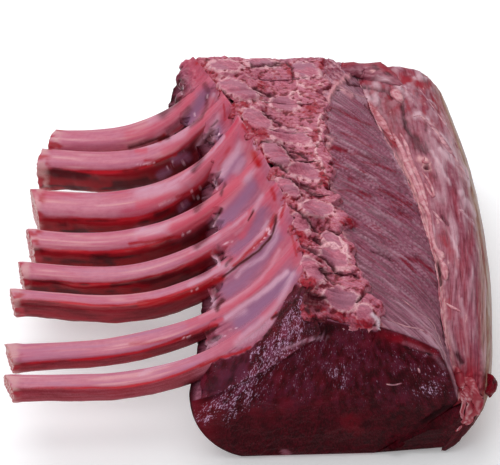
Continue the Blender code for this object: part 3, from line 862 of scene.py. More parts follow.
def made_plain(source, name, tree, inputs):
    """Runs a tree on an object and keeps the result as a plain mesh of its own."""
    modifier = source.modifiers.new("make", "NODES")
    modifier.node_group = tree
    for item in tree.interface.items_tree:
        if item.in_out == "INPUT" and item.name in inputs:
            modifier[item.identifier] = inputs[item.name]
    ready = source.evaluated_get(bpy.context.evaluated_depsgraph_get())
    mesh = bpy.data.meshes.new_from_object(ready)
    mesh.name = name
    source.modifiers.remove(modifier)
    bpy.data.objects.remove(source, do_unlink=True)
    for face in mesh.polygons:
        face.use_smooth = True
    return placed(name, mesh)


def mark_of(body, label):
    values = np.zeros(len(body.data.vertices), np.float32)
    body.data.attributes[label].data.foreach_get("value", values)
    return values.astype(float)


# %% Rib sizes
TIP_Y = (224.0, 203.5, 159.5, 124.5, 96.5, 75.5, 32.5, 12.5)
ROOT_Y = (202.0, 178.0, 143.0, 112.5, 86.5, 64.5, 37.0, 12.5)
HEAD_SWING = (7.0, 9.0, 26.0, 14.0, 12.0, 18.0, 15.0, 22.0)
TIP_X = (-114.0, -119.0, -118.5, -117.0, -118.5, -120.5, -117.0, -115.0)
TIP_SLANT = (0.25, 0.15, -0.30, -0.35, -0.30, -0.30, -0.40, -0.45)
BARE_WIDTH = (17.0, 19.5, 23.0, 16.5, 14.0, 11.5, 13.5, 12.0)
BARE_HEIGHT = (11.0, 20.0, 17.5, 17.0, 14.0, 11.0, 8.5, 9.0)
ROOT_WIDTH = (10.0, 11.0, 12.0, 12.0, 11.0, 10.0, 10.0, 9.5)
RIBS = len(TIP_Y)
RIB_STEPS = 190
RIB_AROUND = 56


def rib_middle(i, x, y_near):
    t = ease((x + 128.0) / 85.0)
    return mix(TIP_Y[i], ROOT_Y[i], t) + HEAD_SWING[i] * np.minimum(rise(x, y_near), 1.0) ** 6


def rib_width(i, x, y_near):
    head = 1.0 - 0.25 * np.minimum(rise(x, y_near), 1.0) ** 4
    tip = 1.0 + 0.06 * ease((-95.0 - x) / 25.0)
    return mix(BARE_WIDTH[i], ROOT_WIDTH[i], ease((x + 60.0) / 40.0)) * head * tip


def rib_height(i, x):
    """The full height runs on a little under the meat, where the solids stop at its edge."""
    meat = along(TRIM_X, ROOT_Y[i]) + 9.0
    return mix(BARE_HEIGHT[i], BED - 0.5, ease((x - meat) / 14.0 + 1.0))


ROUNDS = 40                  # enough for the guess to settle


def meet_ridge(side):
    """Where lines across the slope, y = side(x), meet the ridge."""
    x = 0.0
    for _ in range(ROUNDS):
        x = 0.5 * (x + along(RIDGE_X, side(x)) - 0.6)
    return x


def rib_side(i, across):
    near = ROOT_Y[i]
    return lambda x: rib_middle(i, x, near) + across * rib_width(i, x, near) / 2


def rib_line(i, across, depth):
    """A line of points along rib i, at a share of its half width and of its depth."""
    side = rib_side(i, across)
    tip = TIP_X[i] + TIP_SLANT[i] * across * BARE_WIDTH[i] / 2
    x = mix(tip, meet_ridge(side), np.linspace(0.0, 1.0, RIB_STEPS + 1))
    return below_top(x, side(x), depth * rib_height(i, x))


# %% [markdown]
# The look of a rib comes in bands: a pale top with faint streaks, a bright red thread of meat along
# its near edge, then a dark, wet side with shreds of meat, and a brown lower edge. Painted shade darkens
# the side further between the shreds, on the ribs that stand close together and towards the meat. The
# sawn tip is spongy. The height at which the side begins was read from the photograph for each rib.

# %% Ribs
SIDE_BEGINS = (0.86, 0.50, 0.64, 0.48, 0.50, 0.36, 0.60, 0.47)
BLUSH = (0.15, 0.1, 0.75, 0.25, 0.3, 0.35, 0.2, 0.15)
MAUVE = (0.25, 0.2, 0.2, 0.25, 0.35, 0.6, 0.65, 0.7)
REMAINS = (0.5, 1.1, 1.2, 1.2, 0.9, 0.6, 0.35, 0.3)
# how dark the side of each rib is: dark meat with painted shade, deepest where the ribs stand close
SIDE_DARK = (0.6, 0.85, 0.9, 0.85, 0.75, 0.4, 0.3, 0.2)
SIDE_MEAT = (1.0, 1.0, 1.0, 1.0, 1.0, 0.93, 0.86, 0.8)
TOP_SEEN, SIDE_SEEN = 0.574, 0.819      # how much of a flat top and of an upright side the camera sees


def make_rib(i):
    middle = rib_line(i, 0.0, 0.0)
    half = (rib_line(i, 1.0, 0.0) - rib_line(i, -1.0, 0.0)) / 2
    depth = rib_line(i, 0.0, 1.0) - middle
    path = path_object("path", middle, half, depth)
    body = made_plain(path, "rib_bone_%d" % (i + 1), SWEEP, {
        "Points around": RIB_AROUND, "Steps along": RIB_STEPS, "Rows on the ends": 14,
        "Squareness": 0.62, "Finish": finishes["rib"]})
    u, across, deep = (mark_of(body, label) for label in ("u", "across", "depth"))
    co, out = spots_of(body)
    x = co[:, 0]
    seed = 100 + 10 * i
    meat_x = along(TRIM_X, ROOT_Y[i])
    bare = 1 - between(meat_x - 2, meat_x + 12, x)
    on_rib = points(x, across * 6.0 + 40 * i, deep * 10.0)
    lump = layered(on_rib, (12.0, 5.0, 3.5), seed)
    shred = layered(on_rib, (22.0, 3.0, 2.4), seed + 5)
    broad = layered(on_rib, (40.0, 14.0, 14.0), seed + 3, 2)
    width, height = BARE_WIDTH[i], BARE_HEIGHT[i]
    lie = (1 - across) * width / 2 * TOP_SEEN + deep * height * SIDE_SEEN
    lie = lie / (width * TOP_SEEN + height * SIDE_SEEN)
    start = SIDE_BEGINS[i] + 0.04 * broad + 0.02 * lump
    shown = between(start - 0.06, start + 0.03, lie) * between(-0.2, 0.1, -across + 0.4 * deep)
    near_side = shown * bare
    line = np.exp(-((lie - start + 0.005) / 0.035) ** 2) * (across < 0.3)
    line = line * between(0.02, 0.25, u + 0.12 * lump) * bare
    tip = 1 - between(3.5, 7.0, x - TIP_X[i] + 2.0 * lump)
    cut = 1 - between(0.0, 0.0035, u)
    relief = 0.35 * broad + 0.08 * lump
    relief += near_side * REMAINS[i] * (0.5 * lump + 0.6 * np.maximum(shred, -0.1))
    relief += 0.5 * tip * (1 - cut) * (0.6 + lump) - 0.3 * line
    relief += cut * 0.7 * layered(co, 1.6, seed + 7)
    swell(body, co, out, relief)
    streak = layered(points(x, across * 9 + 31 * i, deep * 9), (40.0, 2.4, 2.4), seed + 9)
    top = 1 - between(start - 0.08, start, lie)
    spongy = layered(co, 1.1, seed + 11)
    root = between(meat_x, meat_x + 25, x)
    give_marks(body, {
        "mauve": MAUVE[i] * top * between(-0.3, 0.5, streak + 0.4 * broad) * bare,
        "blush": BLUSH[i] * top * between(-0.35, 0.35, broad - streak * 0.3) * 1.2 + 0.25 * top * root,
        "cream": bare * top * (between(0.55, 0.95, across) * 0.7
                               + 0.5 * between(0.1, 0.6, -streak + 0.3 * broad)),
        "meat": near_side * SIDE_MEAT[i],
        "line": line * 1.1,
        "brown": near_side * between(0.84, 1.0, lie + 0.06 * lump) * 0.8,
        # dark: painted shade between the shreds and towards the meat, over dark meat
        "dark": near_side * SIDE_DARK[i] * np.clip(
            between(-0.05, 0.35, -shred - 0.3 * lump) + 0.6 * between(-70.0, -45.0, x), 0, 1),
        "sawn": cut + tip * 0.6 * between(-0.2, 0.2, lump),
        "marrow": cut * between(-0.1, 0.25, spongy) + tip * (1 - cut) * between(0.0, 0.3, -lump),
        **streak_marks(co),
    }, np.where(cut[:, None] > 0.5, co, on_rib))
    return body


for i in range(RIBS):
    keep(make_rib(i), ["rib_%d" % (i + 1)], finishes["rib"])

# %% [markdown]
# ## The meat between the ribs
# A thin, shiny lining stretches from rib to rib over a little muscle, so each panel sags between two
# bones. Left of the spine it ends where the bones were scraped clean, in a ragged edge of dark meat
# with white bits of sinew. A panel is a grid between two rib sides, pushed down in the middle, and
# it reaches a little into both ribs, so that no gap shows.

# %% Panels between the ribs
PANEL_GRID = (96, 46, 12)    # points along the slope, across the top and across the underside
PANEL_ENDS = (6, 3)


def panel_rings(near_side, far_side, depth_at, overlap, seed, ragged=1.0):
    """Rings from the trimmed edge to the ridge; also u and v of every point."""
    rows, across, under = PANEL_GRID
    u = np.linspace(0.0, 1.0, rows)[:, None]
    v_top = np.linspace(1.0, 0.0, across)[None, :]
    v_low = np.linspace(0.0, 1.0, under)[None, :]
    u, v = np.broadcast_arrays(u, np.append(v_top, v_low, axis=1))

    def side(x):
        return mix(near_side(x) - overlap, far_side(x) + overlap, v)

    root = side(-30.0)
    start = 1.6 * np.sin(0.9 * root) + 2.5 * noise(points(root, 0, 0), 4.0, seed)
    start = start + 3.0 * (1 - (2 * v - 1) ** 2) * between(0.0, 1.0, np.sin(0.35 * root) + 0.6)
    start = along(TRIM_X, root) + 2.5 + start * ragged
    x = mix(start, meet_ridge(side), u)
    top = np.arange(v.shape[1])[None, :] < across
    depth = np.where(top, depth_at(u, v), BED - 0.6)
    return below_top(x, side(x), np.minimum(depth, BED - 0.6)), u, v


def over_caps(values):
    """Repeats the first and the last ring's values over the caps of a panel."""
    near, far = ([ring] * (rows - 1) for ring, rows in zip((values[0], values[-1]), PANEL_ENDS))
    return np.append(np.concatenate([*near, *values, *far]), [values[0].mean(), values[-1].mean()])


def make_panel(name, near_side, far_side, sink, seed, dark=0.0):
    def sag(u, v):
        hang = (1 - np.abs(2 * v - 1) ** 2.2) * (1 - 0.75 * between(0.6, 1.0, u))
        return 0.45 + sink * hang + 2.6 * (1 - ease(u / 0.12))

    rings, u, v = panel_rings(near_side, far_side, sag, 1.3, seed)
    body, _ = closed(name, rings, *PANEL_ENDS, leaning=False)
    u, v = over_caps(u), over_caps(v)
    co, out = spots_of(body)
    width = np.abs(far_side(0.0) - near_side(0.0)) + 4.0
    lay = points(co[:, 0] * 1.25, v * width, co[:, 1] * 0.2)
    lump = layered(co, 3.4, seed, 3, 0.5)
    streak = layered(lay, (30.0, 3.0, 6.0), seed + 2, 2)
    end = 1 - between(0.06, 0.16, u + 0.04 * lump)
    ripple = 0.12 * streak + 0.25 * noise(lay, (24.0, 6.0, 8.0), seed + 3)
    relief = end * (0.9 * lump + 0.3) + (1 - end) * ripple
    relief += dark * (1.6 * layered(co, 7.0, seed + 4) + 0.8) * (1 - end) * (1 - between(0.55, 0.8, u))
    swell(body, co, out, relief * (1 - between(0.97, 1.0, u)))
    edge = np.abs(2 * v - 1)
    give_marks(body, {
        "pink": between(0.55, 0.95, edge + 0.15 * streak) * 0.6 + 0.2 * between(0.1, 0.5, streak),
        "meat": end * 0.8 + 0.4 * dark * between(0.0, 0.4, lump),
        # dark: painted shade in the hollows between the lumps of the ragged end, over dark meat
        "dark": np.clip(end * between(-0.1, 0.4, -lump) + 0.4 * dark * between(0.0, 0.4, -lump), 0, 1) * 0.8,
        **streak_marks(co),
    }, lay)
    return body


PANEL_SINK = (4.6, 4.4, 3.4, 2.6, 2.2, 2.2, 2.0)
for i in range(RIBS - 1):
    body = make_panel("lining_%d" % (i + 1), rib_side(i + 1, 1), rib_side(i, -1), PANEL_SINK[i], 300 + 10 * i)
    keep(body, ["between_%d" % (i + 1)], finishes["lining"])

body = make_panel("shoulder_meat", rib_side(0, 1), lambda x: LENGTH - 4.0 + 0.0 * x, 1.0, 395, dark=1.0)
keep(body, ["shoulder_end"], finishes["lining"])

# %% [markdown]
# ## The eye of loin
# The loin is the heart of the rack: a long muscle with a mauve, silvery inner face beside the
# vertebrae and a dark maroon cut face towards us. Its outline changes along the spine, so it is
# built from rings, dense on the inner face and coarse below. The cut leans back at its top and
# swells in the middle, as soft meat does when it lies on a table.

# %% The outline of the loin
END_ROUND = 8.0
END_DRAW = 3.5
CUT_SET_BACK = 2.4
COVER = (2.5, 7.5)           # how far the meat of the cut covers the end of the nearest vertebra


def end_inset(y):
    d = np.clip(np.minimum(y - FRONT, LENGTH - y) / END_ROUND, 0.0, 1.0)
    return END_DRAW * (1 - np.sqrt(np.maximum(0.0, 1 - (1 - d) ** 2)))


def seat_points(y):
    left = below_top(along(RIDGE_X, y) + 0.6, y, BED)
    right = points(along(VERTEBRA_X, y), y, along(VERTEBRA_Z, y) - CHINE_DEPTH)
    return left, right


def parting(y, t, side):
    """The border between loin and cap, from the seam (t=0) to the foot (t=1), moved square to its run."""
    def line(t):
        x = mix(along(SEAM_X, y), along(PARTING_FOOT, y), t ** 1.25)
        return x, mix(along(SEAM_Z, y) - STRIP_DEEP, end_inset(y), t)

    (xa, za), (xb, zb) = line(np.maximum(t - 0.02, 0.0)), line(np.minimum(t + 0.02, 1.0))
    size = np.hypot(xb - xa, zb - za)
    x, z = line(t)
    return x + side * GAP * (za - zb) / size, z + side * GAP * (xb - xa) / size


LOIN_PARTS = {"bed": 34, "seat": 14, "step": 4, "inner": 84, "border": 34, "under": 34, "wall": 56}


def loin_rings(y):
    """Rings of the loin at the distances y, and which part of the outline each point is on."""
    y = y[:, None]
    inset = end_inset(y)
    foot_right, foot_left = along(PARTING_FOOT, y), along(FOOT_LEFT, y)
    start = along(TRIM_X, y)
    left, right = seat_points(y)
    x_v, z_v = along(VERTEBRA_X, y) + GAP, along(VERTEBRA_Z, y) - 0.5
    x_s, z_s = along(SEAM_X, y), along(SEAM_Z, y)
    parts = []
    for label, count in LOIN_PARTS.items():
        t = (np.arange(count) / count)[None, :]
        cover = (mix(*COVER, t) if label == "seat" else COVER[1]) * (1 - between(FRONT + 1.5, FRONT + 8.0, y))
        if label == "bed":
            parts.append(below_top(mix(start, along(RIDGE_X, y), t), y, BED + 0.6 * inset))
        elif label == "seat":
            parts.append(mix(left, right, t[..., None]) + points(0 * t, 0, cover - 0.6 * inset))
        elif label == "step":
            parts.append(points(x_v, y, mix(right[..., 2] + cover, z_v - inset, t)))
        elif label == "inner":
            drop = np.maximum(0.0, (t - SWELL_END) / (1 - SWELL_END)) ** 1.6
            bulge = 1.6 * np.sin(math.pi * t) + along(LOIN_SWELL, y) * (t - drop)
            z = mix(z_v, z_s, t) + bulge - inset - SEAM_DROP * between(0.95, 1.0, t)
            parts.append(points(mix(x_v, x_s - 0.5 * GAP, t), y, z))
        elif label == "border":
            x, z = parting(y, t, -1)
            parts.append(points(x, y, np.maximum(z, inset)))
        elif label == "under":
            parts.append(points(mix(foot_right, foot_left, t), y, inset))
        else:
            a = t * math.pi / 2
            top = below_top(start, y, BED + 0.6 * inset)[..., 2]
            z = top * (1 - np.cos(a)) ** 0.9
            parts.append(points(mix(foot_left, start, np.sin(a) ** 0.9) + inset * t, y, np.maximum(z, inset)))
    which = np.repeat(list(LOIN_PARTS), list(LOIN_PARTS.values()))
    share = np.concatenate([np.arange(count) / count for count in LOIN_PARTS.values()])
    return np.concatenate(parts, axis=1), which, share

# %% [markdown]
# The marks on the loin are placed where the photograph shows them: fibres that run across the inner
# face, dark clusters between them, and a silvery skin that turns down beside the cut. On the cut the
# ends of the fibres stand in rows that fan out from above, with painted highlights of wet specks between
# them, most of all on the rounded upper left, which also takes painted sheen. Painted shade darkens the
# cut towards the bottom and the lower right, in its fold and under its edges. The same marks serve every
# piece that the cut runs through.

# %% Marks of the cut face
FAN_TOP = (28.0, 122.0)
FAN_RADIAN = 85.0            # millimetres across the fibres for one radian of the fan


def fan(co):
    """Fibre coordinates on the cut: the first axis runs away from a point above the face."""
    dx, dz = co[:, 0] - FAN_TOP[0], co[:, 2] - FAN_TOP[1]
    return points(np.hypot(dx, dz), np.arctan2(dx, -dz) * FAN_RADIAN, co[:, 1])


CUT_LINES = {
    "ridge": table("203,417 222,402 240,388 256,370 266,355 284,338 302,308"),
    "membrane": table("212,391 226,378 243,366"), "strand": table("283,349 294,345 303,341 313,339 326,337"),
    "silver": table("404,343 418,348 436,357 444,368"), "fold": table("458,404 446,408 432,416 422,422"),
    "under": table("398,344 412,350 432,355"), "red edge": table("382,335 402,340 420,348 434,354")}
PAINTED_GLINT_SPOTS = table("""0.2 318,362 42 30 0 0.8; 0.4 338,375 9 14 0 0.6; 0.5 250,402 20 9 -30 0.6;
    0.45 230,422 12 10 0 0.6; 0.6 430,388 16 7 0 0.6""")


def cut_marks(co):
    column, line = seen_at(co)

    def near(label, width):
        return near_paths(column, line, CUT_LINES[label], width)

    def at(*place):
        return spot(column, line, *place)

    broad = layered(co, 10.0, 550)
    patch = layered(fan(co), (7.0, 3.0, 6.0), 551)
    rows = layered(fan(co), (12.0, 1.5, 3.0), 552, 2)
    # painted highlights of wet specks gather in these spots, along the rounded ridge and on the upper face
    wet = sum((share * at(*place) for share, *place in PAINTED_GLINT_SPOTS), 1.25 * near("ridge", 11.0))
    wet = wet + 0.4 * (1 - between(385, 430, line)) + 0.25 * at((425, 370), 30, 22, 30, 0.8)
    membrane, fold = near("membrane", 8.0), near("fold", 2.0)
    low = between(405, 440, line)
    nick = at((286, 453), 5, 3, 25, 0.3)
    return {
        "glint": (np.clip(wet * (0.55 + 0.6 * between(-0.35, 0.35, patch)) + 0.18 * rows, 0, 1)
                  * (1 - membrane * 0.7)),
        # mauve: the membrane's own colour, with painted sheen along the ridge and on the upper face
        "mauve": np.clip(membrane * 0.3 + 0.4 * near("ridge", 9.0) * between(-0.2, 0.3, patch)
                         + 0.22 * (1 - between(390, 420, line)) * between(-0.3, 0.4, patch), 0, 1),
        "red": np.clip(0.8 * near("red edge", 4.5)
                       + 0.5 * (1 - between(200, 230, column)) * between(390, 410, line)
                       + 0.45 * at((352, 425), 12, 8, 40, 0.6) + nick
                       + 0.22 * between(0.1, 0.6, broad) * (1 - low), 0, 1),
        "fascia": np.clip(0.75 * near("strand", 1.5) + 0.3 * near("silver", 2.0) + 0.5 * nick, 0, 1),
        # dark: painted shade towards the bottom and lower right, in the fold, under the red edge and the
        # vertebra, over darker muscle
        "dark": np.clip(0.30 * low + 0.3 * membrane
                        + 0.45 * at((420, 400), 60, 34, 0, 0.8) * between(-0.5, 0.2, broad)
                        + 0.8 * near("fold", 2.2) + 0.6 * near("under", 1.5)
                        + 0.6 * at((318, 330), 22, 5, -8, 0.5) + 0.35 * between(0.05, 0.45, -patch), 0, 1),
        "fold": fold,
        "strand": near("strand", 2.6),
    }


def cut_relief(co, marks):
    """How far the cut face stands out at each point, in mm."""
    rows = layered(fan(co), (6.0, 1.3, 2.0), 553)
    return (0.7 * layered(co, 13.0, 554, 2) + 0.25 * layered(co, 3.0, 555) + 0.26 * rows
            - 0.9 * marks["fold"] - 0.5 * marks["strand"])


# %% The loin
INNER_WIDE = 52.0            # from the vertebrae to the seam
CLUSTERS = table("1 392,203 42 13 22; 1 418,264 22 11 24; 1 352,168 30 10 26; 0.7 372,232 26 10 26")


def make_loin():
    y = stations(FRONT + CUT_SET_BACK, LENGTH - CUT_SET_BACK, 250, 0.5)
    rings, which, share = loin_rings(y)
    near_rows, far_rows = 64, 18
    middles = (np.array([30.0, FRONT, 36.0]), np.array([12.0, LENGTH, 34.0]))
    body, row = closed("eye_of_loin", rings, near_rows, far_rows, middles, domed=True)
    part, t = on_rings(which, row, "bed"), on_rings(share, row, 0.0)
    near_cap = row < near_rows - 1
    far_cap = row >= near_rows - 1 + len(rings)
    outline = np.clip((near_rows - 1 - row) / near_rows, 0, 1)
    co, out = spots_of(body)
    x, y, z = co.T
    column, line = seen_at(co)
    inner = (part == "inner") & ~near_cap & ~far_cap
    wall = (part == "wall") & ~near_cap & ~far_cap
    across = t * INNER_WIDE
    lay = np.where(inner[:, None], points(across, y + 0.55 * across, 0.3 * z), fan(co))
    lay = np.where(wall[:, None], points(y, z, x), lay)

    grain = layered(lay, (12.0, 1.6, 5.0), 500)
    broad = layered(co, (18.0, 9.0, 12.0), 510)
    lump = layered(co, 3.2, 520, 4, 0.55)
    hollow = cells(lay, (9.0, 2.6, 6.0), 540)
    face = cut_marks(co)
    back = back_marks(co)
    thread = layered(lay, (22.0, 1.4, 4.0), 530, 2)
    close = near_cap | (wall & (y < 12))
    edge = between(0.0, 0.06, outline)
    corner = np.interp(line, (64, 72, 80, 88, 100, 118, 128), (358, 351, 345, 336, 329, 323, 310)) - column
    corner = inner * between(-3.5, 3.5, corner + 4.0 * lump)
    on_inner = 0.55 * broad + 0.3 * grain + 0.18 * thread + back_relief(back) + corner * (0.5 + 0.9 * lump)
    swell(body, co, out, np.select([inner, wall & ~close, near_cap, far_cap], [
        on_inner, 0.9 * lump + 0.6 * broad, cut_relief(co, face) * edge, 0.7 * broad]))

    deep = between(-0.1, 0.35, -grain + 0.5 * broad) * inner * (1 - corner)
    cluster = sum(share * spot(column, line, *place) for share, *place in CLUSTERS)
    flecks = between(0.62, 0.9, 1 - hollow + 0.3 * grain)
    thread_of_blood = near_paths(column, line, table("322,154 334,147 346,151"), 1.8)
    blood = np.clip(cluster * flecks + thread_of_blood + 0.35 * flecks * between(0.1, 0.5, broad), 0, 1)
    skin = near_paths(column, line, table("424,325 434,336 442,352 448,368 453,384 460,398"), 1.2)
    low = between(292, 325, line) * inner
    border = (1 - between(0.0, 0.14, t + 0.05 * lump)) * inner
    raw = near_cap | far_cap | wall | (part == "border")
    give_marks(body, {
        "cut": np.where(raw, 1.0, 0.6 * (part == "under")),
        "silver": inner * (0.5 * between(0.0, 0.5, -grain + 0.3 * broad) * (1 - cluster)
                           + 0.6 * between(0.18, 0.4, thread) + low * 0.5 * between(-0.1, 0.4, grain)
                           + back["silver"]),
        "red": np.where(raw, face["red"], inner * (
            blood + 0.35 * between(0.25, 0.5, -thread) * (1 - low) + back["red"]
            + 0.5 * corner * between(0.0, 0.4, lump + 0.4 * grain))),
        "fat": inner * (border * between(-0.1, 0.35, lump) * 0.8 + skin * 0.2 + back["fat"]
                        + 0.45 * corner * between(-0.1, 0.3, -lump - 0.3 * broad)),
        # dark: the cut's painted shade, painted shade in the hollows of the wall's lumps, and dark meat on
        # the wall near the cut
        "dark": np.where(raw, face["dark"] + wall * ~close * between(0.0, 0.5, -lump)
                         + 0.8 * (wall & close & (z > 28)), deep * 0.5 + back["dark"]),
        "mauve": face["mauve"] * raw,
        "glint": face["glint"] * raw,
        "fascia": face["fascia"] * raw + 0.6 * wall * ~close * between(0.58, 0.76, lump),
    }, lay)
    return body


def make_near_muscle():
    """The meat in front of the nearest rib rounds down into the cut."""
    def rounded(u, v):
        return 1.1 + 8.2 * (1 - v) ** 2.3 + 5.0 * (1 - ease(u / 0.16))

    rings, _, _ = panel_rings(lambda x: FRONT + 1.6 + 0.0 * x, rib_side(RIBS - 1, -1), rounded, 1.3, 390, 0.0)
    body, _ = closed("near_muscle", rings, *PANEL_ENDS, leaning=False)
    co, out = spots_of(body)
    column, row = seen_at(co)
    skin_end = np.interp(column, (186, 215, 240, 250, 262, 276, 284, 290),
                         (374, 361, 354, 349, 339, 319, 300, 284))
    cut = between(-1.5, 1.5, row - skin_end + 2.5 * layered(co, 4.0, 391))
    marks = cut_marks(co)
    swell(body, co, out, cut_relief(co, marks) * cut)
    give_marks(body, {"cut": cut, **marks, **streak_marks(co)}, fan(co))
    return body


loin = make_loin()
keep(loin, ["loin"], finishes["loin"])
keep(make_near_muscle(), ["between_8"], finishes["edge"])

# %% [markdown]
# ## The sawn vertebrae
# The saw went lengthwise through the spine, so each vertebra shows a flat, spongy plate with a pale
# rim that runs down to the right, and a lobe beside it. Between the plates lie clefts, darkened by painted
# shade, and bright red wet spots. Eight closed blocks stand side by side, and the plates are flattened
# into them where the photograph shows them.

# %% Plates and red spots: middle, half length, half width, tilt; clefts and pale lines: paths
PLATES = table("""238,90 23 8 22; 258,121 18 9 38; 276,154 17 8 42; 288,188 15 7 40; 301,223 12 8 50;
    313,270 17 8 48; 341,299 19 12 15; 366,316 12 9 60; 290,137 24 7 12; 305,172 19 8 18; 318,209 18 8 10;
    333,241 13 7 30; 335,258 17 9 30; 284,104 15 7 4; 225,66 18 6 2; 262,63 16 5 4; 304,70 16 7 14""")
CLEFTS = table("""254,88 262,93 276,98; 264,112 273,120 286,127 293,129;
    262,141 275,142 285,147 290,154 297,160 306,162; 290,150 299,154 307,158; 272,163 280,166 287,172;
    278,176 286,177 291,180; 293,182 305,188 318,196; 302,184 314,188; 289,204 298,211 308,220 316,232;
    315,238 322,244; 300,246 311,250 322,257 331,265 342,276; 320,268 331,281; 328,228 338,233;
    352,272 359,277; 286,62 293,70 293,78; 252,66 266,66 280,64; 222,93 228,98; 357,303 364,293;
    305,292 313,296 325,299""")
RED_SPOTS = table("""244,105 4 3 30; 261,133 9 4 35; 311,109 8 5 -30; 315,136 3 7 0; 250,127 8 2 40;
    309,285 10 6 -25; 258,162 4 8 0; 322,65 3 4 0; 336,318 22 6 5; 318,305 10 4 20; 298,240 4 11 -5;
    267,182 3 10 -15; 348,222 8 4 20; 300,236 6 5 20; 290,70 4 8 -20; 262,86 6 4 20; 324,180 3 9 -10;
    362,323 12 5 0""")
PALE_LINES = table("""320,116 318,130 321,140 315,150 320,161 325,173 328,184; 240,110 241,120 248,128;
    256,139 256,151 261,159; 297,84 308,87 322,85; 320,118 319,127 323,131; 314,158 322,166 326,174;
    338,235 345,243 348,253; 327,246 336,245 344,251 350,259; 296,126 304,128 312,131;
    318,287 312,291 305,294; 356,306 357,300 360,296; 331,327 341,329 351,332; 358,331 368,330;
    303,96 297,93 288,94""")
CARTILAGE = table("""372,315 378,320 379,329""")


def chine_rings(i):
    pitch = (LENGTH - 1.0) / RIBS
    y_near = (RIBS - 1 - i) * pitch
    rows, across, under = 76, 124, 10
    y = np.linspace(y_near, y_near + pitch, rows)[:, None]
    v = np.linspace(0.0, 1.0, rows)[:, None]
    open_near = 1.0 if i == RIBS - 1 else 0.15
    open_far = 1.0 if i == 0 else 0.15
    edge = 1 - np.where(v < 0.5, open_near, open_far) * np.abs(2 * v - 1) ** 4
    frayed = np.concatenate([y, 0 * y, 0 * y], axis=1)
    x_r = along(RIDGE_X, y) - 1.2 + 5.0 * layered(frayed, 11.0, 720)[:, None]
    x_v = along(VERTEBRA_X, y) + 2.2 + 7.5 * layered(frayed, 13.0, 730, 2)[:, None]
    z_r, z_v = top_height(x_r, y), along(VERTEBRA_Z, y)
    t = np.linspace(0.0, 1.0, across)[None, :]
    lobes = 1.5 * np.sin(3 * math.pi * t - 0.6) * np.where(t < 0.4, 1.0, 0.7)
    z = mix(z_r, z_v, t) + 1.2 + lobes * edge - 3.4 * (1 - edge)
    z = z - 1.7 * (1 - between(0.0, 0.05, t)) - 2.2 * between(0.95, 1.0, t)
    top = points(mix(x_r, x_v, t), y, z)
    left, right = seat_points(y)
    s = np.linspace(1.0, 0.0, under)[None, :, None]
    low = mix(left + np.array([0.6, 0.0, 0.4]), right + np.array([0.5, 0.0, 0.4]), s)
    return np.concatenate([top, low], axis=1)


def make_chine(i):
    nearest = i == RIBS - 1
    rings = chine_rings(i)
    body, _ = closed("vertebra_%d" % (i + 1), rings, 20 if nearest else 3)
    co, out = spots_of(body)
    column, row = seen_at(co)
    x, y, z = co.T
    lay = points(0.79 * x - 0.62 * y, 0.62 * x + 0.79 * y, z)
    lump = layered(co, 3.0, 700, 4, 0.55)
    streak = layered(lay, (9.0, 1.6, 3.0), 701)
    broad = layered(lay, (16.0, 7.0, 9.0), 702, 2)
    u = column + 2.4 * layered(co, 5.0, 704)
    w = row + 2.4 * layered(co + 50.0, 5.0, 703)
    plate = np.zeros(len(co))
    rim = np.zeros(len(co))
    for middle, long, wide, tilt in PLATES:
        reach = oval(u, w, middle, long, wide, tilt)
        plate = np.maximum(plate, 1 - between(0.9, 1.08, reach))
        rim = np.where(reach < 0.8, 0.0, np.maximum(rim, np.exp(-((reach - 1.0) * wide / 1.3) ** 2)))
    cleft = near_paths(u, w, CLEFTS, 1.5)
    wet = np.zeros(len(co))
    for middle, long, wide, tilt in RED_SPOTS:
        wet = np.maximum(wet, spot(u, w, middle, long, wide, tilt, 0.3))
    pale = near_paths(u, w, PALE_LINES, 1.1)
    arc = near_paths(column, row, CARTILAGE, 1.9)
    low = (1 - plate) * (1 - cleft)
    relief = plate * 0.55 + (0.5 * rim + pale) * 0.35 - cleft * 1.3 + low * (0.45 * lump + 0.5 * streak - 0.1)
    front = (1 - between(FRONT + 4.0, FRONT + 9.0, co[:, 1])) * nearest
    relief += 0.35 * broad + wet * (0.2 + 0.4 * lump) + 0.6 * arc + front * (1.1 * lump + 0.6 * broad)
    swell(body, co, out, relief * np.where(out[:, 2] > 0.0, 1.0, np.maximum(0.3, front)))
    grey = spot(u, w, (345, 300), 11, 8, 0, 0.5)
    grey = grey + 0.6 * (row < 80) * between(248, 285, column) * between(-0.3, 0.3, broad)
    flank = 1 - between(0.0, 7.0, co[:, 0] - along(RIDGE_X, co[:, 1]))
    give_marks(body, {
        "rim": (rim * between(-0.5, 0.1, lump) * (1 - wet) * 0.75 + pale
                + 0.45 * low * between(0.25, 0.5, streak) + 0.6 * front * between(0.15, 0.45, streak)),
        "grey": (grey + 0.7 * plate * between(-0.4, 0.3, broad + 0.4 * streak)
                 + 0.35 * low * between(0.1, 0.5, -streak)),
        "red": (wet * (0.45 + 0.7 * between(-0.3, 0.4, streak))
                + low * between(-0.1, 0.4, -lump + 0.4 * streak) * 0.75
                + front * between(-0.1, 0.3, streak) * 0.45 + 0.5 * low * flank),
        # dark: painted shade in the clefts and in the hollows between the lumps, and dark meat at the near
        # end
        "dark": (cleft + low * between(0.2, 0.5, -lump) * 0.7 + front * between(0.0, 0.4, -lump) * 0.7
                 + 0.9 * spot(u, w, (312, 300), 13, 10, 20, 0.5)
                 + 0.8 * spot(u, w, (322, 322), 16, 6, 0, 0.5)),
        "cartilage": arc,
    }, lay)
    return body


for i in range(RIBS):
    keep(make_chine(i), ["chine_%d" % (i + 1)], finishes["bone"])

# %% [markdown]
# ## The cap, the muscle under it and the tan back
# Right of the seam a thinner muscle lies over the back under a silvery skin, with a tan layer of dried
# fat on its outside. On the cut it hides a second dark muscle. All three share one outline, drawn
# inwards step by step, so they fit into each other like bowls.

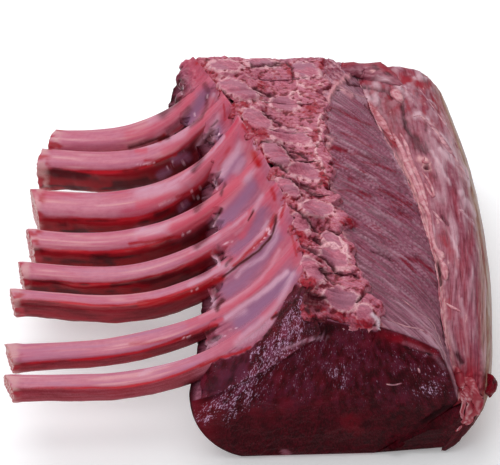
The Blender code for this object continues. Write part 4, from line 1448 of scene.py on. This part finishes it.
# %% Outlines over the back
def back_outline(y, first, second):
    """The outside of the cap: over the shoulder in `first` steps, down the back in `second`."""
    y = y[:, None]
    inset = end_inset(y)
    x_s, z_s = along(SEAM_X, y) + 0.5 * GAP, along(SEAM_Z, y)
    x_b, z_b = along(BACK_X, y) - FAT_THICK, along(BACK_Z, y)
    t = np.linspace(0.0, 1.0, first)[None, :]
    crown = along(SHOULDER_Z, y) * 0.42 * np.sin(math.pi * t ** 0.9) ** 1.5
    z = mix(z_b, z_s, np.cos(t * math.pi / 2) ** 0.85) + crown - inset
    z = z - SEAM_DROP * (1 - between(0.0, 0.05, t))
    upper = points(mix(x_s, x_b, np.sin(t * math.pi / 2)) - inset * t, y, z)
    a = np.linspace(0.0, math.pi / 2, second + 1)[None, 1:]
    power = 0.82 + 0.26 * between(15.0, 75.0, y)
    x = mix(x_b, along(FOOT_RIGHT, y), (1 - np.cos(a)) ** power) - inset
    lower = points(x, y, np.maximum(z_b * (1 - np.sin(a)) ** power, inset))
    return np.concatenate([upper, lower], axis=1)


def parting_points(y, shares):
    """Points on the cap's side of its border with the loin, for rings at the distances y."""
    y = y[:, None]
    x, z = parting(y, np.array(shares)[None, :], 1)
    return points(x, y, z)


def drawn_in(rings, share, more):
    """An outline drawn towards the middle of the muscle."""
    y = rings[:, :1, 1]
    x_c, z_c = parting(y, 0.5, 0)
    way = points(x_c + 6.0, y, z_c) - rings
    way[..., 1] = 0.0
    size = np.hypot(way[..., 0], way[..., 2])
    out = rings + way * (share + more / size)[..., None]
    out[..., 2] = np.maximum(out[..., 2], end_inset(y))
    return out


def share_of_cap(count, first):
    """The thickness of the cap at each point, as a share of the way inwards."""
    k = np.concatenate([np.linspace(0, 5, first), np.linspace(5, 10, count - first + 1)[1:]])
    return (CAP_SHARE * (1.0 - 0.06 * np.maximum(k - 1, 0.0)))[None, :]


# %% Cap
FIRST, SECOND = 86, 46       # points over the shoulder and down the back
CAP_ROUND = 95.0             # from the seam over the back to its foot
THIN_FROM, THIN_STEP = 16, 4           # the inner side of the cap has one point in four, clear of the seam


def make_cap():
    y = stations(FRONT + CUT_SET_BACK, LENGTH - CUT_SET_BACK, 260, 0.5)
    outer = back_outline(y, FIRST, SECOND)
    count = outer.shape[1]
    share = share_of_cap(count, FIRST)
    few = np.arange(THIN_FROM + THIN_STEP, count, THIN_STEP)
    inner = drawn_in(outer, share, 0.0)[:, few[::-1]]
    rings = np.concatenate([outer, inner, parting_points(y, (0.10, 0.05, 0.0))], axis=1)
    near_rows, far_rows = 14, 8
    middle = [mix(rings[k][count // 2], rings[k][count + len(few) // 2], 0.5) for k in (0, -1)]
    body, row = closed("cap_of_the_back", rings, near_rows, far_rows, middle)
    rest = np.zeros(rings.shape[1] - count)
    way = on_rings(np.append(np.linspace(0, 1, count), rest), row, 0.0)
    outside = on_rings(np.append(np.ones(count), rest), row, 0.0)
    near_cap = row < near_rows - 1
    far_cap = row >= near_rows - 1 + len(rings)
    co, out = spots_of(body)
    _, y, z = co.T
    column, line = seen_at(co)
    arc = way * CAP_ROUND
    lay = points(y + 0.25 * arc, arc - 0.12 * y, 0.2 * z)
    grain = layered(lay, (14.0, 2.2, 5.0), 800)
    broad = layered(lay, (34.0, 9.0, 12.0), 810)
    lump = layered(co, 3.0, 820, 4, 0.55)
    back = back_marks(co)
    relief = 0.55 * broad + 0.25 * grain + back_relief(back)
    near_red = 1 - between(FRONT + 4.0, FRONT + 20.0, y + 3.0 * lump)
    shred = near_red * outside * (1 - between(0.45, 0.6, way))
    relief += 0.7 * lump * shred + 0.4 * lump * far_cap
    swell(body, co, out, relief * outside * (1 - near_cap * 0.5))
    streaks = between(0.1, 0.45, grain) * 0.5
    blotch = layered(lay, (9.0, 4.0, 5.0), 830)
    far = between(150.0, 205.0, y)
    foot = (1 - between(6.0, 14.0, y)) * (1 - between(12.0, 26.0, z + 4.0 * lump))
    give_marks(body, {
        "cut": near_cap + far_cap * 0.8 + (1 - outside) + foot + 0.75 * shred * between(-0.3, 0.2, lump),
        "silver": (0.45 * between(0.1, 0.5, broad) + 0.35 * streaks + back["silver"]
                   + 0.35 * far * between(0.0, 0.4, blotch)),
        "red": (0.35 * between(0.05, 0.45, -broad - 0.3 * grain) * (1 - between(0.4, 0.5, way)) + back["red"]
                + 0.5 * far * between(0.1, 0.4, -blotch) + 0.7 * shred),
        "tan": between(0.36, 0.5, way + 0.05 * grain + 0.05 * (1 - between(30.0, 100.0, y))) + back["tan"],
        "fat": ((1 - between(0.0, 0.05, way + 0.02 * lump)) * outside * 0.8 * (1 - between(140.0, 160.0, y))
                + near_cap * between(0.0, 0.3, lump) * 0.7 * between(20.0, 34.0, z)
                + 0.6 * between(0.5, 0.7, grain) * between(0.1, 0.4, lump) + back["fat"]),
        "dark": (0.4 * between(0.2, 0.6, -grain) + back["dark"]
                 + 0.3 * spot(column, line, (394, 118), 16, 30, -20, 0.7) * between(-0.4, 0.3, grain)),
    }, lay)
    return body


keep(make_cap(), ["cap"], finishes["cap"])

# %% [markdown]
# The muscle under the cap shows only on the cuts, where it takes the same marks as the loin. The tan fat
# is a thin shell on the outside of the cap, thickest in its middle, and could not be a mere stain,
# because its edge stands up from the silvery skin.

# %% The muscle under the cap, and the tan fat on the back
def make_side_muscle():
    y = stations(FRONT + CUT_SET_BACK, LENGTH - CUT_SET_BACK, 90, 0.7)
    outer = back_outline(y, FIRST, SECOND)
    inner = drawn_in(outer, share_of_cap(outer.shape[1], FIRST), 0.5)[:, 14::2]
    edge = parting_points(y, np.linspace(1.0, 0.14, 40))
    edge[..., 2] = np.maximum(edge[..., 2], end_inset(y)[:, None])
    rings = np.concatenate([inner, edge], axis=1)
    middle = [rings[k].mean(0) - np.array([0, s * 1.4, 0]) for k, s in ((0, 1), (-1, -1))]
    body, _ = closed("under_muscle", rings, 34, 10, middle, domed=True)
    co, out = spots_of(body)
    marks = cut_marks(co)
    swell(body, co, out, cut_relief(co, marks))
    give_marks(body, marks, fan(co))
    return body


FAT_SPAN = (46, 108)         # the points of the outline, of 120, that the tan fat covers


def make_back_fat():
    y = stations(FRONT + 5.0, LENGTH - 5.0, 200, 0.3)
    inner = back_outline(y, 60, 60)[:, slice(*FAT_SPAN)]
    way = np.roll(inner, -1, axis=1) - np.roll(inner, 1, axis=1)
    way[:, 0], way[:, -1] = way[:, 1], way[:, -2]
    size = np.hypot(way[..., 0], way[..., 2])
    square = points(-way[..., 2] / size, 0, way[..., 0] / size)
    share = np.linspace(0.0, 1.0, inner.shape[1])[None, :, None]
    end = np.sin(math.pi * np.clip((y[:, None, None] - FRONT - 4.0) / (LENGTH - 6.0), 0, 1)) ** 0.25
    outer = inner + square * (0.2 + FAT_THICK * np.sin(math.pi * share) ** 0.6 * end)
    lower = inner[:, ::-1] - square[:, ::-1] * 0.8
    body, _ = closed("tan_fat", np.concatenate([outer, lower], axis=1))
    co, out = spots_of(body)
    x, y, z = co.T
    lay = points(y, z * 1.2 - 0.1 * y, x * 0.3)
    grain = layered(lay, (20.0, 2.2, 6.0), 840)
    broad = layered(lay, (40.0, 10.0, 20.0), 841)
    swell(body, co, out, 0.35 * broad + 0.18 * grain)
    give_marks(body, {
        "red": between(0.0, 0.5, grain + 0.5 * broad) * 0.6, "silver": between(0.1, 0.5, -grain) * 0.7,
        "dark": (1 - between(6.0, 14.0, co[:, 1])) * (1 - between(14.0, 30.0, co[:, 2] + 6.0 * broad))}, lay)
    return body


keep(make_side_muscle(), ["side_muscle"], finishes["muscle"])
keep(make_back_fat(), ["back_fat"], finishes["tan"])

# %% [markdown]
# ## Strands of fat and sinew
# Fat lies in the seam as ribbons and loops, and thin white strings of sinew run over the back and the
# cuts. Each one is a path over the surface, so the same Geometry Nodes tree that made the ribs makes
# them too. A path is given by where it is seen in the photograph, and a ray from the camera finds
# where it lies on the meat, so a strand sits on its surface from any side.

# %% Paths that lie on the meat
def skin_of(names):
    verts, faces = [], []
    for mesh in (bpy.data.objects[name].data for name in names):
        base = len(verts)
        verts += [v.co.copy() for v in mesh.vertices]
        faces += [tuple(base + k for k in p.vertices) for p in mesh.polygons]
    return BVHTree.FromPolygons(verts, faces)


def curved(path, count):
    """A smooth curve with `count` points through a path of pairs or triples."""
    p = np.array(path, float)
    if len(p) == 2:
        return mix(p[0], p[1], np.linspace(0, 1, count)[:, None])
    p = np.concatenate([[2 * p[0] - p[1]], p, [2 * p[-1] - p[-2]]])
    spans = len(p) - 3
    t = np.linspace(0, spans, count)
    k = np.minimum(t.astype(int), spans - 1)
    s = (t - k)[:, None]
    a, b, c, d = p[k], p[k + 1], p[k + 2], p[k + 3]
    return 0.5 * (2 * b + (c - a) * s + (2 * a - 5 * b + 4 * c - d) * s**2 + (3 * b - a - 3 * c + d) * s**3)


def landed(skin, path, count):
    """Points and normals where a path in the photograph lies on the meat."""
    hits, normals = [], []
    for column, row in curved(path, count):
        way = FORWARD * FOCAL_PIXELS + RIGHTWARD * (column - PHOTO[0] / 2) - UPWARD * (row - PHOTO[1] / 2)
        found = skin.ray_cast(Vector((EYE + SHIFT) * MM), Vector(way).normalized())
        if found[0] is not None:
            hits.append(np.array(found[0]) / MM - SHIFT)
            normals.append(np.array(found[1]))
    hits, normals = np.array(hits), np.array(normals)
    for _ in range(2):
        for values in (hits, normals):
            values[1:-1] = (values[:-2] + 2 * values[1:-1] + values[2:]) / 4
    normals /= np.linalg.norm(normals, axis=1)[:, None]
    return hits, normals


PIXELS_A_MM = 2.2
STRAND_STEP = 0.8


def strand(skin, path, half, thick, seed, finish, sink=0.45, around=12, wave=0.35, name="strand"):
    """A flat strand over the meat. half and thick are in mm, each one value or a row. Without a
    skin to land on, the path holds the points and the normals themselves."""
    if skin is None:
        hits, normals = path
        length = np.linalg.norm(np.diff(hits, axis=0), axis=1).sum()
    else:
        length = sum(math.dist(a, b) for a, b in zip(path, path[1:])) / PIXELS_A_MM
        hits, normals = landed(skin, path, max(12, int(length / STRAND_STEP)))
    count = len(hits)
    run = np.gradient(hits, axis=0)
    run /= np.linalg.norm(run, axis=1)[:, None] + 1e-9
    side = np.cross(normals, run)
    side /= np.linalg.norm(side, axis=1)[:, None] + 1e-9
    t = np.linspace(0, 1, count)
    wide, deep = [np.interp(t, np.linspace(0, 1, np.size(row)), np.atleast_1d(row)) for row in (half, thick)]
    taper = np.sqrt(np.clip(1 - (2 * t - 1) ** 6, 0.02, 1))
    where = points(t * length, seed, 0)
    wide = wide * taper * (1 + wave * noise(where, 6.0, seed))
    deep = deep * taper * (1 + wave * noise(where, 5.0, seed + 1))
    middle = hits + side * (0.9 * wave * wide * noise(where, 7.0, seed + 2))[:, None]
    middle = middle + normals * (deep * (1 - sink))[:, None]
    source = path_object("path", middle, side * wide[:, None], -normals * deep[:, None])
    body = made_plain(source, name, SWEEP, {
        "Points around": around, "Steps along": count - 1, "Rows on the ends": 2, "Squareness": 0.9,
        "Finish": finish})
    co, out = spots_of(body)
    swell(body, co, out, 0.12 * min(np.max(thick), 1.5) * layered(co, 1.4, seed + 3, 2))
    give_marks(body, {}, points(mark_of(body, "u") * length, mark_of(body, "across") * wide.mean(),
                                co[:, 2] * 0.2))
    outwards(body)
    return body


def joined(name, bodies):
    """One piece from several closed ones."""
    work = bmesh.new()
    for body in bodies:
        work.from_mesh(body.data)
    mesh = bpy.data.meshes.new(name)
    work.to_mesh(mesh)
    work.free()
    for body in bodies:
        bpy.data.objects.remove(body, do_unlink=True)
    whole = placed(name, mesh)
    outwards(whole)
    return whole


# %% Fat in the seam and at the near corner: half width, thickness, path
SEAM_STRANDS = table("""1.6,1.5,1.3,1,1.2,1.2 1.3 393,133 401,148 408,166 416,184 422,200 429,214 431,232
    435,248 442,262 444,280; 0.9,1.2,0.8 1.2 400,133 407,147 412,163 419,178 424,194 428,207;
    0.7 1 422,172 428,180 433,190 434,197 430,193 425,183; 2.2,2.6,1.6 2.4 392,90 397,95 402,103;
    1.1,1.8,0.8 1.6 443,261 445,270 446,281; 1.2,1.5,1 1.6 436,250 441,255 443,260;
    0.8 1 424,157 423,162 429,163; 0.4,0.8,0.4 0.7 446,303 453,308 461,312;
    0.35 0.6 442,288 443,305 443,322 445,338 448,352; 0.7,1.1,1 1 449,345 450,357 452,367;
    1.6,3,2.6,1.5 2.4 452,365 455,374 460,381 465,388;
    0.9,1.7,1.9,1.3,0.6 1 370,104 376,113 383,124 390,135 395,143""")
CORNER_STRANDS = table("""1.6,2.8,2.4 1.3 461,378 469,383 475,392 476,403 472,415 466,425;
    1.4,2.6,2 1.2 464,386 469,395 470,406 467,416 463,424;
    0.8,1.3,0.9 0.9 461,392 464,398 465,404 462,412 464,420; 1 0.9 462,390 467,389 473,394;
    0.7,0.9,0.6 1 455,431 459,429 462,425""")
over = skin_of(["eye_of_loin", "cap_of_the_back", "under_muscle"])
CREASE = table("434,414 424,421 412,429 400,439 388,448")[0]
crease = strand(over, CREASE, (0.8, 2.2, 3.2, 3.4, 3.0), 0.7, 890, finishes["muscle"], sink=0.7, around=24,
                name="crease_meat")
co, out = spots_of(crease)
give_marks(crease, cut_marks(co), fan(co))
keep(crease, [], finishes["muscle"])
strands = [strand(over, path, half, thick, 900 + 7 * n, finishes["fat"],
                  wave=0.35 if n < len(SEAM_STRANDS) else 0.6)
           for n, (half, thick, *path) in enumerate(SEAM_STRANDS + CORNER_STRANDS)]
y = np.linspace(FRONT + 3.5, LENGTH - 4.5, 260)
seam_line = points(along(SEAM_X, y) + 0.3 * noise(points(y, 0, 0), 7.0, 940), y, along(SEAM_Z, y) - 0.3)
seam_line[:, 1:] += lean(seam_line)[:, 1:] - seam_line[:, 1:]
strands.append(strand(None, (seam_line, points(0.5 + 0 * y, 0, 0.87)),
                      (1.2, 0.7, 0.6, 0.8, 0.9, 0.7, 0.6, 0.4, 0.35), 0.8, 941, finishes["fat"],
                      sink=0.75, wave=0.5))
seam = joined("seam_strands", strands)
co, out = spots_of(seam)
column, line = seen_at(co)
lump = layered(co, 2.5, 950)
low = between(360, 375, line)
streak = layered(points(column + 0.25 * line, 0.14 * line, 0), 2.4, 951, 2)
groove = near_paths(column, line, table("370,104 376,113 383,124 390,135 395,143"), 2.4)
give_marks(seam, {
    "red": (0.15 + 0.35 * between(0.1, 0.5, lump) + 0.8 * groove * between(-0.5, 0.1, lump)
            + low * (0.1 + between(-0.15, 0.2, -streak)) + 0.9 * spot(column, line, (459, 377), 8, 11, 20)
            + 0.3 * (column > 468) * low),
    "cream": (between(0.0, 0.5, -lump) * 0.6 * (1 - low) * (1 - groove)
              + 0.9 * low * between(0.1, 0.35, streak)),
})
keep(seam, ["seam_fat"], finishes["fat"])

# %% [markdown]
# At the shoulder end a flap of muscle lies over the seam. It is one wide strand, thick in its middle,
# with the finish of the cap and marks of its own.

# %% The flap of muscle that lies over the far end of the seam
FLAP = table("340,69 350,69 362,70 375,73 388,78 402,86")[0]
flap = strand(over, FLAP, (2.5, 5.5, 8.5, 8.0, 5.0, 2.0), (1.0, 4.4, 6.6, 6.4, 3.6, 1.6), 955,
              finishes["cap"], sink=0.5, around=48, wave=0.2, name="far_flap")
co, out = spots_of(flap)
lump = layered(co, 3.0, 956, 4)
swell(flap, co, out, 0.5 * lump)
column, line = seen_at(co)
crest = np.interp(column, (345, 362, 375, 385, 398), (67.0, 63.5, 65.0, 70.5, 78.0))
give_marks(flap, {
    "red": between(-2.5, 1.5, crest - line + 3.0 * lump) * 0.8,
    # dark: two dark spots, and painted shade in the hollows between the lumps
    "dark": (0.7 * spot(column, line, (375, 67), 5, 2, 30) + 0.7 * spot(column, line, (388, 74), 4, 2, 30)
             + 0.2 * between(0.2, 0.5, -lump)),
    "silver": 0.5 * spot(column, line, (382, 81), 9, 5, 10, 0.6) + 0.3 * between(0.1, 0.5, lump),
    "fat": 0.9 * spot(column, line, (373, 71), 2, 1.4, 0, 0.4),
})
keep(flap, [], finishes["cap"])

# %% [markdown]
# A small dark tag of meat stands out of the back near the cut. Rings from one pole to the other make a
# block with rounded corners, and noise makes it uneven.

# %% The tag of meat that stands out of the back
TAG_Y = 6.0
TAG_SIZE = (6.5, 4.8, 6.0)


def make_tag():
    a = np.linspace(0.0, math.pi, 42)[1:-1, None]
    b = np.linspace(0.0, 2 * math.pi, 65)[None, :-1]
    wide, high = np.arcsin(0.96 * np.cos(b)) / math.pi * 2.2, np.arcsin(0.96 * np.sin(b)) / math.pi * 2.2
    x = along(BACK_X, TAG_Y) - FAT_THICK - 1.6 + TAG_SIZE[0] * np.sin(a) * (1 + wide) * 0.5
    z = along(BACK_Z, TAG_Y) + 1.0 + TAG_SIZE[2] * np.sin(a) * (high + 0.15 * wide)
    rings = points(x, TAG_Y - TAG_SIZE[1] * np.cos(a), z)
    body, _ = closed("tag_of_meat", rings)
    co, out = spots_of(body)
    lump = layered(co, 3.0, 970, 4)
    swell(body, co, out, 0.6 * lump)
    # dark paints shade in the hollows of the lumps, and glint paints highlights on their tops
    give_marks(body, {"red": 0.45 + 0.3 * lump, "dark": 0.5 * between(0.2, 0.5, -lump),
                      "glint": 0.2 + 0.3 * lump}, fan(co))
    return body


keep(make_tag(), ["tag"], finishes["muscle"])

# %% [markdown]
# Last come the thin white strings, which are strands as well, only narrow and half sunk.

# %% Thin sinews over the back, the inner face and the cut
SINEWS = table("""0.35 0.5 367,99 373,112 382,132 393,151 402,170 412,190 420,207;
    0.4,1,1.6,0.8 0.6 413,117 420,116 431,125 443,140 455,158 468,178 480,200;
    0.5 0.6 430,208 438,217 446,226; 0.4 0.5 459,209 468,216 476,226;
    0.5 0.6 420,90 433,107 447,128 460,152; 0.6 0.6 345,92 358,95 368,99; 0.7 0.7 323,86 337,89 350,92;
    0.7 0.7 395,82 404,88 413,98; 0.35 0.4 402,299 418,312 432,322 439,338 446,356 452,374 459,392;
    0.3 0.4 372,316 388,320 405,326 424,331 436,342 444,360; 0.35 0.5 386,384 394,385 402,383;
    0.4 0.5 418,368 420,373""")
strings = [strand(over, path, half, thick, 960 + 7 * n, finishes["cap"], sink=0.6, around=8)
           for n, (half, thick, *path) in enumerate(SINEWS)]
strings = joined("sinews", strings)
co, out = spots_of(strings)
lump = layered(co, 3.0, 951)
give_marks(strings, {"silver": 0.4 + 0.5 * lump, "fat": between(-0.2, 0.4, lump) * 0.7})
keep(strings, [], finishes["cap"])


# %% [markdown]
# ## Light and floor
# Wet meat shows its form by its sheen, so the light is one broad soft lamp behind and above, which
# lays a milky gloss on all that faces up, and a weaker one from the left front. The floor is pale
# and plain.

# %% Lamps, sky and floor
def lamp(name, place, size, watts, tint=(1.0, 1.0, 1.0)):
    data = bpy.data.lights.new(name, "AREA")
    data.shape = "RECTANGLE"
    data.size, data.size_y = size
    data.energy = watts
    data.color = tint
    body = placed(name, data)
    body.location = place
    body.rotation_euler = (LAMPS_AIM - Vector(place)).to_track_quat("-Z", "Y").to_euler()


LAMPS_AIM = Vector((0.0, 0.0, 0.05))
lamp("soft back lamp", (-0.25, 0.85, 1.15), (1.5, 1.0), 13.0, (0.97, 0.98, 1.0))
lamp("top lamp", (-0.2, -0.1, 1.5), (1.2, 1.2), 8.0)
lamp("front lamp", (-0.7, -1.0, 0.9), (0.8, 0.8), 4.0)

sky = bpy.data.worlds.new("sky")
sky.use_nodes = True
sky.node_tree.nodes["Background"].inputs["Color"].default_value = (0.9, 0.93, 1.0, 1.0)
sky.node_tree.nodes["Background"].inputs["Strength"].default_value = 0.3
bpy.context.scene.world = sky
bpy.context.scene.view_settings.view_transform = "Standard"

floor_mesh = bpy.data.meshes.new("floor")
floor_mesh.from_pydata([(-4, -3, 0), (4, -3, 0), (4, 6, 0), (-4, 6, 0)], [], [(0, 1, 2, 3)])
floor = placed("floor", floor_mesh)
floor.location = (0.0, 0.0, -0.0005)
paper = Finish("pale floor", {
    "Roughness": 0.9, "Specular IOR Level": 0.1, "Base Color": (0.93, 0.93, 0.93, 1.0),
    "Emission Color": (1.0, 1.0, 1.0, 1.0), "Emission Strength": 0.2})
floor_mesh.materials.append(paper.material)
